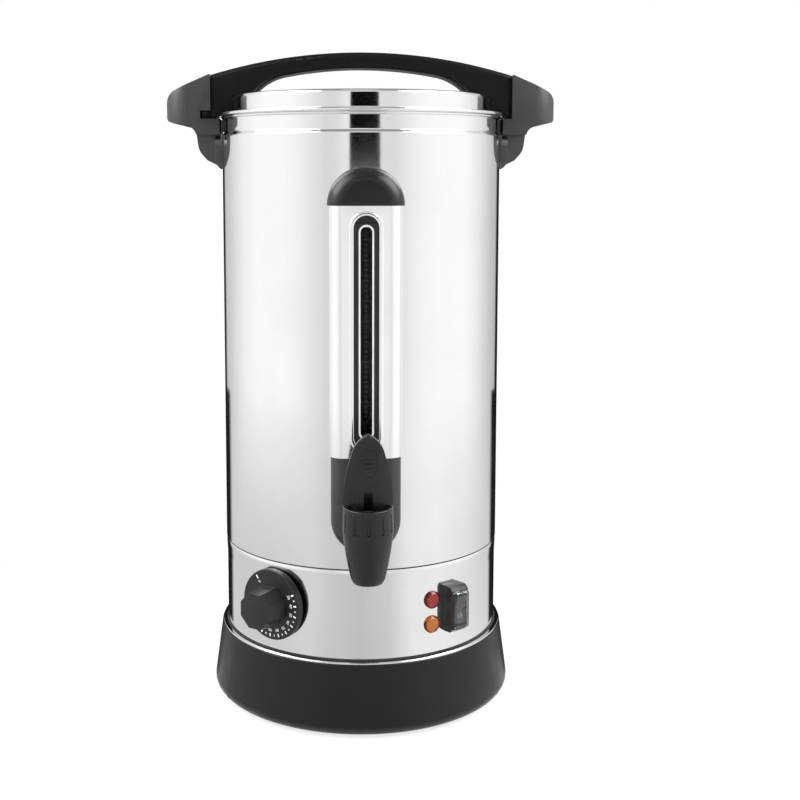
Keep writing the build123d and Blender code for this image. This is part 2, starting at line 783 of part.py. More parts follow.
# Rocker with two faces at a shallow angle, at rest with its top pressed out,
# on a trunnion at each side.
with BuildPart() as switch_rocker:
    with BuildSketch(section_plane(switch_angle, rocker_pivot, switch_z)):
        half = rocker_length / 2
        back, inset = rocker_back
        keel, keel_half = rocker_keel
        Polygon((-back, inset - half), (rocker_proud[0], -half), (rocker_proud[1], 0),
                (rocker_proud[0], half), (-back, half - inset), (-keel, keel_half), (-keel, -keel_half),
                rotation=-rocker_tilt, align=None)
    extrude(amount=rocker_width / 2, both=True)
    with BuildSketch(section_plane(switch_angle, rocker_pivot, switch_z)):
        Circle(trunnion_radius)
    extrude(amount=rocker_width / 2 + trunnion_length, both=True)
switch_rocker.part.label = "switch_rocker"

# Clear splash boot clipped over the rocker's opening.
with BuildPart() as switch_cover:
    width = rocker_width + cover_margins[0]
    height = rocker_length + cover_margins[1]
    with BuildSketch(switch_face):
        RectangleRounded(width, height, cover_corner)
    extrude(amount=cover_proud, taper=cover_taper)
    fillet(switch_cover.faces().sort_by(switch_outwards)[-1].edges(), cover_edge)
    with BuildSketch(switch_face):
        RectangleRounded(width - 2 * cover_rim, height - 2 * cover_rim, cover_corner - cover_rim)
    extrude(amount=cover_proud - cover_skin, taper=cover_taper, mode=Mode.SUBTRACT)
switch_cover.part.label = "switch_cover"

# ---------------------------------------------------------- power inlet ----
# Appliance inlet at the back: flange outside, shrouded socket going inwards.
inlet_face = skirt_radius + inlet_flange
with BuildPart() as power_inlet:
    with BuildSketch(side_plane(180, inlet_face, inlet_z)):
        RectangleRounded(inlet_flange_width, inlet_flange_height, inlet_corner)
    extrude(amount=-2 * inlet_flange)
    Cylinder(skirt_radius + slip / 4, 2 * mouth_z, mode=Mode.SUBTRACT)
    with BuildSketch(side_plane(180, inlet_face - 1, inlet_z)):
        Rectangle(inlet_body_width, inlet_body_height)
    extrude(amount=1 - inlet_depth - inlet_back)
    with BuildSketch(side_plane(180, inlet_face, inlet_z)) as socket:
        Rectangle(inlet_socket_width, inlet_socket_height)
        chamfer(socket.vertices().group_by(Axis.Y)[-1], inlet_corner)
    extrude(amount=-inlet_depth, mode=Mode.SUBTRACT)
    with BuildSketch(side_plane(180, inlet_face, inlet_z)):
        with GridLocations(2 * inlet_screw_reach, 0, 2, 1):
            Circle(small_screw + slip)
    extrude(amount=-2 * inlet_screw_length, mode=Mode.SUBTRACT)
    with BuildSketch(side_plane(180, inlet_face - inlet_depth, inlet_z)):
        for place in pin_places:
            with Locations(place):
                Rectangle(pin_section[0] + slip, pin_section[1] + slip)
    extrude(amount=-2 * inlet_back, mode=Mode.SUBTRACT)
power_inlet.part.label = "power_inlet"

with BuildPart() as inlet_pins:
    with BuildSketch(side_plane(180, inlet_face - inlet_depth + pin_length, inlet_z)):
        for place in pin_places:
            with Locations(place):
                Rectangle(*pin_section)
    extrude(amount=-pin_length - pin_tail)
inlet_pins.part.label = "inlet_pins"

with BuildPart() as inlet_screws:
    with Locations(side_plane(180, inlet_face, inlet_z)):
        with GridLocations(2 * inlet_screw_reach, 0, 2, 1):
            pan_screw(small_screw, inlet_screw_length)
inlet_screws.part.label = "inlet_screws"

# --------------------------------------------------------- side handles ----
# The faces towards the lid's bar are parts of one cylinder, so the lid turns.
bar_top = mouth_z + seal_thickness + lid_rise + bar_rise
bar_end_top = bar_top - bar_shoulder_drop
bridge_z = mouth_z - bridge_drop
crest_x = grip_inner + grip_crest[0] * grip_overhang
throat_x = grip_inner + grip_throat[0] * grip_overhang
web_x = grip_inner + web_low[0] * grip_overhang
foot_z = shoulder_z - web_foot
pad_x = body_radius + 1.0
with BuildPart() as side_handle_right:
    with BuildSketch(Plane.XZ):
        with BuildLine():
            FilletPolyline(
                (pad_x, bar_end_top + 2), (grip_inner, bar_end_top),
                (crest_x, bar_end_top - grip_crest[1]), (grip_reach, bar_end_top - grip_end_drop),
                (grip_reach, shoulder_z + grip_end_rise), (throat_x, shoulder_z + grip_throat[1]),
                (web_x, shoulder_z - web_low[1]), (pad_x, foot_z), (body_radius - 4, foot_z),
                (body_radius - 4, shoulder_z - 0.5), (pad_x, shoulder_z - 0.5),
                radius=[0, 0, *grip_rounds, 0, 0, 0], close=True)
        make_face()
    extrude(amount=grip_half_width, both=True)
    with BuildSketch(Plane.XY.offset(foot_z - 1)):
        with Locations((grip_reach, 0)):
            RectangleRounded(2 * (grip_reach - body_radius + grip_half_width), 2 * grip_half_width,
                             grip_corner, align=(Align.MAX, Align.CENTER))
    extrude(amount=bar_top - foot_z, mode=Mode.INTERSECT)
    with BuildSketch(Plane.XY.offset(foot_z - 1)):
        with GridLocations(0, 2 * grip_half_width, 1, 2):
            with Locations((grip_reach, 0)):
                Rectangle(2 * (grip_reach - body_radius), 2 * (grip_half_width - web_half_width))
    extrude(amount=web_foot + 1, mode=Mode.SUBTRACT)
    with BuildSketch(Plane.XY.offset(bridge_z)):
        Circle(grip_inner)
    extrude(amount=bar_top - bridge_z, mode=Mode.SUBTRACT)
    with BuildSketch(side_plane(90, 0, shoulder_z - 1 - pad_height / 2)):
        RectangleRounded(2 * pad_half_width, pad_height, pad_corner)
    extrude(amount=body_radius + pad_thickness)
    Cylinder(body_radius + slip / 2, 3 * mouth_z, mode=Mode.SUBTRACT)
    with BuildSketch(side_plane(90, body_radius, 0)):
        for height in handle_screw_zs:
            with Locations((0, height)):
                Circle(handle_screw + slip)
    extrude(amount=handle_screw_length - 2, mode=Mode.SUBTRACT)
    with BuildSketch(Plane.XZ):
        with Locations((grip_inner + tongue_depth, bridge_z)):
            Rectangle(tongue_depth + grip_corner / 2, tongue_height, align=(Align.MAX, Align.MIN))
    extrude(amount=-grip_half_width, mode=Mode.SUBTRACT)
side_handle_right.part.label = "side_handle_right"

# The left handle is the right one turned half round the drum.
with BuildPart() as side_handle_left:
    with Locations(Location((0, 0, 0), (0, 0, 180))):
        add(side_handle_right.part)
side_handle_left.part.label = "side_handle_left"

with BuildPart() as handle_washers:
    for angle in (-90, 90):
        for height in handle_screw_zs:
            with BuildSketch(side_plane(angle, tank_bore - 2 * washer_thickness, height)):
                Circle(washer_radius)
            extrude(amount=2 * washer_thickness + 1)
    Cylinder(tank_bore - slip / 4, 3 * mouth_z, mode=Mode.INTERSECT)
    for angle in (-90, 90):
        for height in handle_screw_zs:
            with BuildSketch(side_plane(angle, 0, height)):
                Circle(handle_screw + slip)
            extrude(amount=body_radius, mode=Mode.SUBTRACT)
handle_washers.part.label = "handle_washers"

with BuildPart() as handle_screws:
    for angle in (-90, 90):
        for height in handle_screw_zs:
            with Locations(side_plane(angle, tank_bore - 2 * washer_thickness, height)):
                Cylinder(handle_screw, handle_screw_length, align=(Align.CENTER, Align.CENTER, Align.MIN))
                Cylinder(handle_head, handle_head_height, align=(Align.CENTER, Align.CENTER, Align.MAX))
handle_screws.part.label = "handle_screws"

# ------------------------------------------------------------------ lid ----
# Seal: a flat ring on the rolled mouth with a lip that centres it inside.
flange_z = mouth_z + seal_thickness
with BuildPart() as lid_seal:
    with BuildSketch(Plane.XZ):
        with BuildLine():
            inner = lid_radius + 1.5
            outer = neck_radius + 1.5
            lip = neck_bore - clear
            Polyline((inner, flange_z), (outer, flange_z), (outer, mouth_z + slip), (lip, mouth_z + slip),
                     (lip, mouth_z - seal_lip), (lip - seal_lip_thickness, mouth_z - seal_lip),
                     (lip - seal_lip_thickness, mouth_z - 1), (inner, mouth_z), close=True)
        make_face()
    revolve(axis=Axis.Z)
lid_seal.part.label = "lid_seal"

# Lid: raised pan with a flat flange and a curled edge.
lid_top = flange_z + lid_rise
with BuildPart() as lid_pan:
    with BuildSketch(Plane.XZ):
        make_face(sheet_outline(
            [(flange_radius - curl_radius, flange_z + sheet), (lid_radius, flange_z + sheet),
             (lid_radius, lid_top), (0, lid_top)],
            [step_fillet, lid_corner]))
        with Locations((flange_radius - curl_radius, flange_z + sheet - curl_radius)):
            Circle(curl_radius)
    revolve(axis=Axis.Z)
    with BuildSketch(Plane.XY.offset(lid_top)):
        with GridLocations(2 * bar_screw_x, 2 * bar_screw_y, 2, 2):
            Circle(small_screw + slip)
    extrude(amount=2 * sheet, both=True, mode=Mode.SUBTRACT)
lid_pan.part.label = "lid_pan"

# Bar: a shallow arch whose ends step down over the lid's edge and are turned
# to one cylinder, concentric with the lid.
bar_end_low = bridge_z + split_gap
bar_blank = bar_end + 2.0
blank_top = bar_top - bar_shoulder_drop * (bar_blank / bar_end)**2
shoulder_x = 0.7 * bar_half_gap
step_x = 0.88 * bar_half_gap
shoulder_gap_z = lid_top + bar_gap_shoulder
step_gap_z = lid_top + bar_gap_rise
step_top_z = flange_z + sheet
with BuildPart() as lid_handle:
    with BuildSketch(Plane.XZ):
        with BuildLine():
            Line((-bar_blank, blank_top), (-bar_blank, bar_end_low))
            Line((-bar_blank, bar_end_low), (-bar_half_gap, bar_end_low))
            Line((-bar_half_gap, bar_end_low), (-bar_half_gap, lid_top))
            ThreePointArc((-bar_half_gap, lid_top), (-step_x, step_gap_z), (-shoulder_x, shoulder_gap_z))
            ThreePointArc((-shoulder_x, shoulder_gap_z), (0, bar_top - bar_thickness),
                          (shoulder_x, shoulder_gap_z))
            ThreePointArc((shoulder_x, shoulder_gap_z), (step_x, step_gap_z), (bar_half_gap, lid_top))
            Line((bar_half_gap, lid_top), (bar_half_gap, bar_end_low))
            Line((bar_half_gap, bar_end_low), (bar_blank, bar_end_low))
            Line((bar_blank, bar_end_low), (bar_blank, blank_top))
            ThreePointArc((bar_blank, blank_top), (0, bar_top), (-bar_blank, blank_top))
        make_face()
    extrude(amount=bar_width / 2, both=True)
    fillet(lid_handle.edges().filter_by(GeomType.CIRCLE), bar_round)
    Cylinder(bar_end, 3 * mouth_z, mode=Mode.INTERSECT)
    with BuildSketch(Plane.XZ):
        with BuildLine():
            Polyline((0, lid_top), (lid_radius + slip / 2, lid_top),
                     (lid_radius + slip / 2, step_top_z + step_fillet),
                     (lid_radius + step_fillet, step_top_z), (flange_radius + slip, step_top_z),
                     (flange_radius + slip, bar_end_low - 1), (0, bar_end_low - 1), close=True)
        make_face()
    revolve(axis=Axis.Z, mode=Mode.SUBTRACT)
    with BuildSketch(Plane.XY.offset(lid_top)):
        with GridLocations(2 * bar_screw_x, 2 * bar_screw_y, 2, 2):
            Circle(small_screw + slip / 2)
    extrude(amount=bar_screw_length, mode=Mode.SUBTRACT)
lid_handle.part.label = "lid_handle"

with BuildPart() as lid_handle_screws:
    with Locations(Plane(origin=(0, 0, lid_top - sheet), x_dir=(1, 0, 0), z_dir=(0, 0, -1))):
        with GridLocations(2 * bar_screw_x, 2 * bar_screw_y, 2, 2):
            pan_screw(small_screw, bar_screw_length)
lid_handle_screws.part.label = "lid_handle_screws"

# ---------------------------------------------------------------- gauge ----
cover_height = cover_high - cover_low
window_height = cover_height - 2 * window_margin
gauge_middle = (cover_low + cover_high) / 2
cover_gap = sheet + slip
with BuildPart() as gauge_cover:
    with BuildSketch(Plane.XY.offset(cover_low)):
        add(channel_section(0))
        add(channel_section(sheet, hollow_back), mode=Mode.SUBTRACT)
    extrude(amount=cover_height)
    with BuildSketch(Plane.XZ.offset(channel_front - 3)):
        with Locations((0, gauge_middle)):
            SlotOverall(window_height + 2 * window_frame, window_width + 2 * window_frame,
                        rotation=90)
    extrude(amount=3 + window_frame_proud)
    with BuildSketch(Plane.XY.offset(cover_low)):
        add(channel_section(sheet, hollow_back))
    extrude(amount=cover_height, mode=Mode.SUBTRACT)
    with BuildSketch(Plane.XZ.offset(channel_front - 6)):
        with Locations((0, gauge_middle)):
            SlotOverall(window_height, window_width, rotation=90)
    extrude(amount=12, mode=Mode.SUBTRACT)
    Cylinder(body_radius + slip / 4, 3 * mouth_z, mode=Mode.SUBTRACT)
gauge_cover.part.label = "gauge_cover"

# Black scale strip behind the window, slotted for the glass tube.
panel_front = channel_front - sheet - 0.4
with BuildPart() as scale_panel:
    with BuildSketch(Plane.XZ.offset(panel_front)):
        with Locations((0, gauge_middle)):
            Rectangle(panel_width, cover_height - 2 * spigot_length - 1)
            SlotOverall(window_height - 2 * tube_slot_margin, tube_slot_width, rotation=90,
                        mode=Mode.SUBTRACT)
    extrude(amount=-panel_thickness)
scale_panel.part.label = "scale_panel"

# Top cap: half a puck over the cover's end, with a spigot inside the cover
# and a block that holds the tube and the fixing screw.
with BuildPart() as gauge_cap:
    with BuildSketch(Plane.XY.offset(cover_high)):
        add(half_channel(-cap_overlap))
    revolve(axis=Axis((0, 0, cover_high), (0, -1, 0)), revolution_arc=180)
    with BuildSketch(Plane.XY.offset(cover_high)):
        add(half_channel(gauge_wall - cap_overlap, hollow_back))
    revolve(axis=Axis((0, 0, cover_high), (0, -1, 0)), revolution_arc=180, mode=Mode.SUBTRACT)
    with BuildSketch(Plane.XY.offset(cover_high)):
        add(channel_section(clear - cap_overlap))
        add(channel_section(cover_gap + gauge_wall, hollow_back), mode=Mode.SUBTRACT)
    extrude(amount=gauge_wall)
    with BuildSketch(Plane.XY.offset(cover_high)):
        add(channel_section(cover_gap))
        add(channel_section(cover_gap + gauge_wall, hollow_back), mode=Mode.SUBTRACT)
    extrude(amount=-spigot_length)
    with BuildSketch(Plane.XZ.offset(channel_back)):
        with Locations((0, cover_high)):
            Rectangle(2 * (tube_seal_radius + 3), cap_block_height, align=(Align.CENTER, Align.MIN))
    extrude(amount=channel_front - channel_back)
    with BuildSketch(Plane.XY.offset(cover_high - 1)):
        with Locations((0, -tube_reach)):
            Circle(tube_seal_radius + slip / 2)
    extrude(amount=tube_seal_length + 1, mode=Mode.SUBTRACT)
    with BuildSketch(side_plane(0, channel_back, cap_screw_z)):
        Circle(small_screw + slip / 2)
    extrude(amount=channel_front - channel_back - gauge_wall, mode=Mode.SUBTRACT)
    Cylinder(body_radius + slip / 2, 3 * mouth_z, mode=Mode.SUBTRACT)
gauge_cap.part.label = "gauge_cap"

with BuildPart() as cap_screw:
    with Locations(side_plane(180, slip - tank_bore, cap_screw_z)):
        pan_screw(small_screw, cap_screw_length)
cap_screw.part.label = "cap_screw"

# Glass tube between two rubber seals.
tube_low = nipple_top - tube_seal_length
tube_high = cover_high + tube_seal_length - 1
with BuildPart() as gauge_tube:
    with BuildSketch(Plane.XY.offset(tube_low)):
        with Locations((0, -tube_reach)):
            Circle(tube_radius)
            Circle(tube_radius - tube_wall, mode=Mode.SUBTRACT)
    extrude(amount=tube_high - tube_low)
gauge_tube.part.label = "gauge_tube"

with BuildPart() as tube_seals:
    for low in (tube_low, cover_high):
        with BuildSketch(Plane.XY.offset(low)):
            with Locations((0, -tube_reach)):
                Circle(tube_seal_radius)
                Circle(tube_radius + slip / 4, mode=Mode.SUBTRACT)
        extrude(amount=tube_seal_length - slip)
tube_seals.part.label = "tube_seals"

# Lower housing: channel with a half-round end, a boss round the tap's shank
# and a nipple that feeds the tube.
housing_front = channel_front - cover_gap
housing_end_z = shank_z + housing_end_rise
with BuildPart() as gauge_housing:
    with BuildSketch(Plane.XY.offset(housing_end_z)):
        add(channel_section(cover_gap))
        add(channel_section(cover_gap + gauge_wall, hollow_back), mode=Mode.SUBTRACT)
    extrude(amount=cover_low + spigot_length - housing_end_z)
    with BuildSketch(Plane.XY.offset(housing_end_z)):
        add(half_channel(cover_gap))
        add(half_channel(cover_gap + gauge_wall, hollow_back), mode=Mode.SUBTRACT)
    revolve(axis=Axis((0, 0, housing_end_z), (0, 1, 0)), revolution_arc=180)
    with BuildSketch(side_plane(0, hollow_back, shank_z)):
        Circle(shank_radius + slip + 3)
    extrude(amount=housing_front - hollow_back - 1)
    with BuildSketch(Plane.XY.offset(shank_z)):
        with Locations((0, -tube_reach)):
            Circle(nipple_radius)
    extrude(amount=nipple_top - shank_z)
    with BuildSketch(side_plane(0, 0, shank_z)):
        Circle(shank_radius + slip)
    extrude(amount=tap_reach, mode=Mode.SUBTRACT)
    with BuildSketch(Plane.XY.offset(shank_z)):
        with Locations((0, -tube_reach)):
            Circle(tube_radius - tube_wall)
    extrude(amount=nipple_top - shank_z, mode=Mode.SUBTRACT)
    with BuildSketch(Plane.XY.offset(tube_low)):
        with Locations((0, -tube_reach)):
            Circle(tube_seal_radius + slip / 2)
    extrude(amount=tube_seal_length + 1, mode=Mode.SUBTRACT)
    Cylinder(body_radius + slip / 2, 3 * mouth_z, mode=Mode.SUBTRACT)
gauge_housing.part.label = "gauge_housing"

# ------------------------------------------------------------------ tap ----
tap_axis = Axis((0, -tap_reach, 0), (0, 0, 1))
tap_plane = Plane(origin=(0, -tap_reach, 0), x_dir=(1, 0, 0), z_dir=(0, -1, 0))
washer_back = body_radius - tap_washer_thickness - tap_washer_bedding
shank_inner = washer_back - nut_thickness - shank_proud + tap_washer_bedding
with BuildPart() as tap_body:
    with BuildSketch(tap_plane):
        with BuildLine():
            Line((0, bonnet_low), (barrel_radius, bonnet_low))
            ThreePointArc((barrel_radius, bonnet_low), (barrel_radius - 1.4, shank_z - 3.5),
                          (spout_radius, spout_low + 3))
            Polyline((spout_radius, spout_low + 3), (spout_radius - 1.6, spout_low), (0, spout_low),
                     (0, bonnet_low))
        make_face()
    revolve(axis=tap_axis)
    with BuildSketch(side_plane(0, shank_inner, shank_z)):
        Circle(shank_radius)
    extrude(amount=tap_reach - shank_inner)
    with BuildSketch(side_plane(0, housing_front + slip, shank_z)):
        Circle(tap_flange_radius)
    extrude(amount=tap_flange_thickness)
    with BuildSketch(side_plane(0, housing_front + slip, shank_z)):
        Circle(shank_radius + 2)
    extrude(amount=tap_reach - housing_front - slip)
    with BuildSketch(Plane.XY.offset(bonnet_low)):
        with Locations((0, -tap_reach)):
            Circle(barrel_radius + clear)
    extrude(amount=shank_radius, mode=Mode.SUBTRACT)
    with BuildSketch(side_plane(0, shank_inner - 1, shank_z)):
        Circle(shank_bore)
    extrude(amount=tap_reach - shank_inner + 1, mode=Mode.SUBTRACT)
    with BuildSketch(Plane.XY.offset(chamber_low)):
        with Locations((0, -tap_reach)):
            Circle(chamber_radius)
    extrude(amount=bonnet_low - chamber_low, mode=Mode.SUBTRACT)
    with BuildSketch(Plane.XY.offset(chamber_low - seat_thickness)):
        with Locations((0, -tap_reach)):
            Circle(seat_radius)
    extrude(amount=seat_thickness, mode=Mode.SUBTRACT)
    with BuildSketch(Plane.XY.offset(spout_low)):
        with Locations((0, -tap_reach)):
            Circle(spout_bore)
    extrude(amount=chamber_low - seat_thickness - spout_low, mode=Mode.SUBTRACT)
    with BuildSketch(Plane.XY.offset(shank_z)):
        with Locations((0, -tube_reach)):
            Circle(tube_radius - tube_wall)
    extrude(amount=shank_radius + 1, mode=Mode.SUBTRACT)
tap_body.part.label = "tap_body"

with BuildPart() as tap_seal:
    with BuildSketch(side_plane(0, washer_back, shank_z)):
        Circle(tap_washer_radius)
        Circle(shank_radius + slip, mode=Mode.SUBTRACT)
    extrude(amount=tap_washer_thickness + tap_washer_bedding)
    Cylinder(tank_bore - slip / 4, 3 * mouth_z, mode=Mode.INTERSECT)
tap_seal.part.label = "tap_seal"

with BuildPart() as tap_nut:
    with BuildSketch(side_plane(0, washer_back, shank_z)):
        RegularPolygon(nut_flats / 2, 6, major_radius=False, rotation=30)
        Circle(shank_radius + slip / 2, mode=Mode.SUBTRACT)
    extrude(amount=-nut_thickness)
tap_nut.part.label = "tap_nut"

# Grooved bonnet screwed on the barrel: an open cup above, a plug below.
cup_floor_z = bonnet_top - bonnet_cup_depth
bonnet_under = cup_floor_z - bonnet_floor
plug_radius = chamber_radius - slip
with BuildPart() as tap_bonnet:
    with BuildSketch(tap_plane):
        with BuildLine():
            FilletPolyline(
                (stem_radius + running, bonnet_under), (stem_radius + running, cup_floor_z),
                (bonnet_bore, cup_floor_z), (bonnet_bore, bonnet_top), (barrel_radius - 0.4, bonnet_top),
                (barrel_radius, bonnet_low + slip), (plug_radius, bonnet_low + slip),
                (plug_radius, bonnet_under - bonnet_plug), (plug_radius - 1.6, bonnet_under - bonnet_plug),
                (plug_radius - 1.6, bonnet_under),
                radius=[0, 0, 0, 0, 0.8, 0, 0, 0, 0, 0], close=True)
        make_face()
    revolve(axis=tap_axis)
    with BuildSketch(Plane.XY.offset(bonnet_low)):
        with Locations((0, -tap_reach)):
            with PolarLocations(barrel_radius + 0.5, groove_count, start_angle=-90):
                Circle(groove_radius)
    extrude(amount=bonnet_top - bonnet_low - 4, mode=Mode.SUBTRACT)
tap_bonnet.part.label = "tap_bonnet"

# Valve: rubber cup on a stem whose cross head hooks into the lever.
hinge_y = -tap_reach - lever_offset
hinge_z = cup_floor_z + clear
stem_head_z = hinge_z + stem_head_rise
cup_top = chamber_low + cup_height
with BuildPart() as seat_cup:
    with BuildSketch(tap_plane):
        with BuildLine():
            seat_z = chamber_low + slip
            Polyline((0, chamber_low - 1), (seat_radius - 1, chamber_low - 1),
                     (seat_radius - clear, seat_z), (cup_radius, seat_z), (cup_radius, seat_z + 2.4),
                     (stem_collar_radius - 1, cup_top), (0, cup_top), close=True)
        make_face()
    revolve(axis=tap_axis)
seat_cup.part.label = "seat_cup"

with BuildPart() as valve_stem:
    with BuildSketch(Plane.XY.offset(cup_top)):
        with Locations((0, -tap_reach)):
            Circle(stem_collar_radius)
    extrude(amount=stem_collar)
    with BuildSketch(Plane.XY.offset(cup_top)):
        with Locations((0, -tap_reach)):
            Circle(stem_radius)
    extrude(amount=stem_head_z - cup_top)
    with BuildSketch(Plane.YZ):
        with Locations((-tap_reach, stem_head_z)):
            Circle(stem_head_radius)
    extrude(amount=stem_head_length / 2, both=True)
valve_stem.part.label = "valve_stem"

spring_low = cup_top + stem_collar + spring_wire + slip
spring_high = bonnet_under - spring_wire - slip
with BuildPart() as tap_spring:
    with BuildLine() as coil:
        Helix((spring_high - spring_low) / spring_turns, spring_high - spring_low, spring_radius,
              center=(0, -tap_reach, spring_low))
    with BuildSketch(Plane(origin=coil.line @ 0, z_dir=coil.line % 0)):
        Circle(spring_wire)
    sweep()
tap_spring.part.label = "tap_spring"

# Lever: a leaf with a shallow thumb panel over a foot slotted for the stem.
slot_half = stem_head_length / 2 + 0.7
throat_half = stem_radius + 0.8
notch_top = lever_low + slot_rises[1]
half = lever_half_width
wide, waist, tip = [share * half for share in lever_shares]
wide_z = lever_low + lever_waist_rise
waist_z = lever_tip - lever_tip_drops[0]
tip_z = lever_tip - lever_tip_drops[1]
foot_back = hinge_y + lever_foot_depth
web_top = lever_low + lever_web_rise
with BuildPart() as tap_lever:
    with BuildSketch(Plane.XZ.offset(-hinge_y)):
        with BuildLine():
            Line((-half, lever_low), (half, lever_low))
            ThreePointArc((half, lever_low), (wide, wide_z), (waist, waist_z))
            ThreePointArc((waist, waist_z), (tip, tip_z), (0, lever_tip))
            ThreePointArc((0, lever_tip), (-tip, tip_z), (-waist, waist_z))
            ThreePointArc((-waist, waist_z), (-wide, wide_z), (-half, lever_low))
        make_face()
    extrude(amount=-lever_thickness)
    with BuildSketch(Plane.YZ):
        with BuildLine():
            Polyline((hinge_y, hinge_z), (foot_back, hinge_z), (foot_back, lever_low + 3),
                     (hinge_y + lever_thickness - 0.5, web_top), (hinge_y, web_top), close=True)
        make_face()
    extrude(amount=lever_foot_half, both=True)
    with BuildSketch(Plane.XY.offset(hinge_z - 1)):
        with Locations((0, hinge_y + lever_front_curve)):
            Circle(lever_front_curve)
    extrude(amount=lever_tip, mode=Mode.INTERSECT)
    with BuildSketch(Plane.XZ.offset(-hinge_y - panel_depth)):
        with Locations((0, lever_tip - panel_drop)):
            Ellipse(*panel_radii)
            with GridLocations(0, rib_pitch, 1, 2):
                Ellipse(*rib_radii, mode=Mode.SUBTRACT)
    extrude(amount=lever_thickness / 2, mode=Mode.SUBTRACT)
    with BuildSketch(Plane.YZ):
        with Locations((hinge_y - 1, hinge_z + slot_rises[0])):
            Rectangle(1 + slot_depth, slot_rises[1] - slot_rises[0], align=(Align.MIN, Align.MIN))
    extrude(amount=slot_half, both=True, mode=Mode.SUBTRACT)
    with BuildSketch(Plane.YZ):
        with BuildLine():
            Polyline((hinge_y - 1, hinge_z - 1), (hinge_y + throat_depth, hinge_z - 1),
                     (hinge_y + throat_depth, hinge_z + throat_rise),
                     (hinge_y + throat_web, hinge_z + throat_rise), (hinge_y + throat_web, notch_top),
                     (hinge_y - 1, notch_top), close=True)
        make_face()
    extrude(amount=throat_half, both=True, mode=Mode.SUBTRACT)
tap_lever.part.label = "tap_lever"

# --------------------------------------------------------------- export ----
pieces = [builder.part for builder in (
    tank_shell, tank_bottom, control_skirt, base_skirt, base_plate, base_screws, feet,
    heater_plate, heating_element, thermal_cutout, reset_button, capillary_bulb,
    thermostat_body, thermostat_screws, thermostat_shaft, thermostat_knob,
    red_lens, amber_lens, lamp_bodies, switch_housing, switch_rocker, switch_cover,
    power_inlet, inlet_pins, inlet_screws,
    side_handle_right, side_handle_left, handle_washers, handle_screws,
    lid_seal, lid_pan, lid_handle, lid_handle_screws,
    gauge_cover, scale_panel, gauge_cap, cap_screw, gauge_tube, tube_seals, gauge_housing,
    tap_body, tap_seal, tap_nut, tap_bonnet, seat_cup, valve_stem, tap_spring, tap_lever)]
for piece in pieces:
    export_step(piece, f"parts/{piece.label}.step")
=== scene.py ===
"""Dress the hot water urn: surfaces, small parts, studio and camera.

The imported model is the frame. Each sub-assembly is a class that holds its
sizes in millimetres, builds its meshes in the frame's place and gives them
their finishes.
"""
import logging
import math
from abc import ABC, abstractmethod
from dataclasses import dataclass
from enum import Enum
from typing import Callable, Optional, Sequence

import bmesh
import bpy
from mathutils import Matrix, Vector
from mathutils.bvhtree import BVHTree


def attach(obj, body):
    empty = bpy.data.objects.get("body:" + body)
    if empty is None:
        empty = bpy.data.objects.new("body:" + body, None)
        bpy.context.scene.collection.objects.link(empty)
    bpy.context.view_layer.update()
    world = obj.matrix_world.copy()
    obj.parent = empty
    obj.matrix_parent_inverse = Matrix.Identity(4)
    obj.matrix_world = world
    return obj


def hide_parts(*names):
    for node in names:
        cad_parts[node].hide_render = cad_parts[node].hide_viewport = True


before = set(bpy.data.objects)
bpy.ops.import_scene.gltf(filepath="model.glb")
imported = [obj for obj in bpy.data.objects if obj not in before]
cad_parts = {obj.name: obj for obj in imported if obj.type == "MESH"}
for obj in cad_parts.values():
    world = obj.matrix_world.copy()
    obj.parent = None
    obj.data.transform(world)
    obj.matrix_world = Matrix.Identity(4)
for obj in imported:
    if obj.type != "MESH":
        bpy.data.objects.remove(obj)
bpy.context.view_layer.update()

log = logging.getLogger("urn")

MM = 0.001
FULL_TURN = 2 * math.pi
GUARD = 0.12  # millimetres from a run's ends to the points that keep it flat
SHARP = 32.0  # degrees above which an edge is shaded sharp
PRINT_SHARP = 30.0
MOULD_SHARP = 35.0
MOULD_EDGE = 34.0  # degrees above which a moulding's edge is rounded
MERGE = 1e-7  # metres within which vertices are one
WELD = 3e-6  # the same for the corners of a solid's triangles
SLIVER = 1e-6  # metres under which an edge is dropped
FLAT = 0.6  # degrees below which neighbouring faces are merged
NO_TURN = Matrix.Identity(4)
UPRIGHT = Matrix.Rotation(math.pi / 2, 4, "X") @ Matrix.Scale(-1, 4, (0, 0, 1))
Point = tuple[float, float]
Corner = tuple[float, float, float]
Colour = tuple[float, float, float]


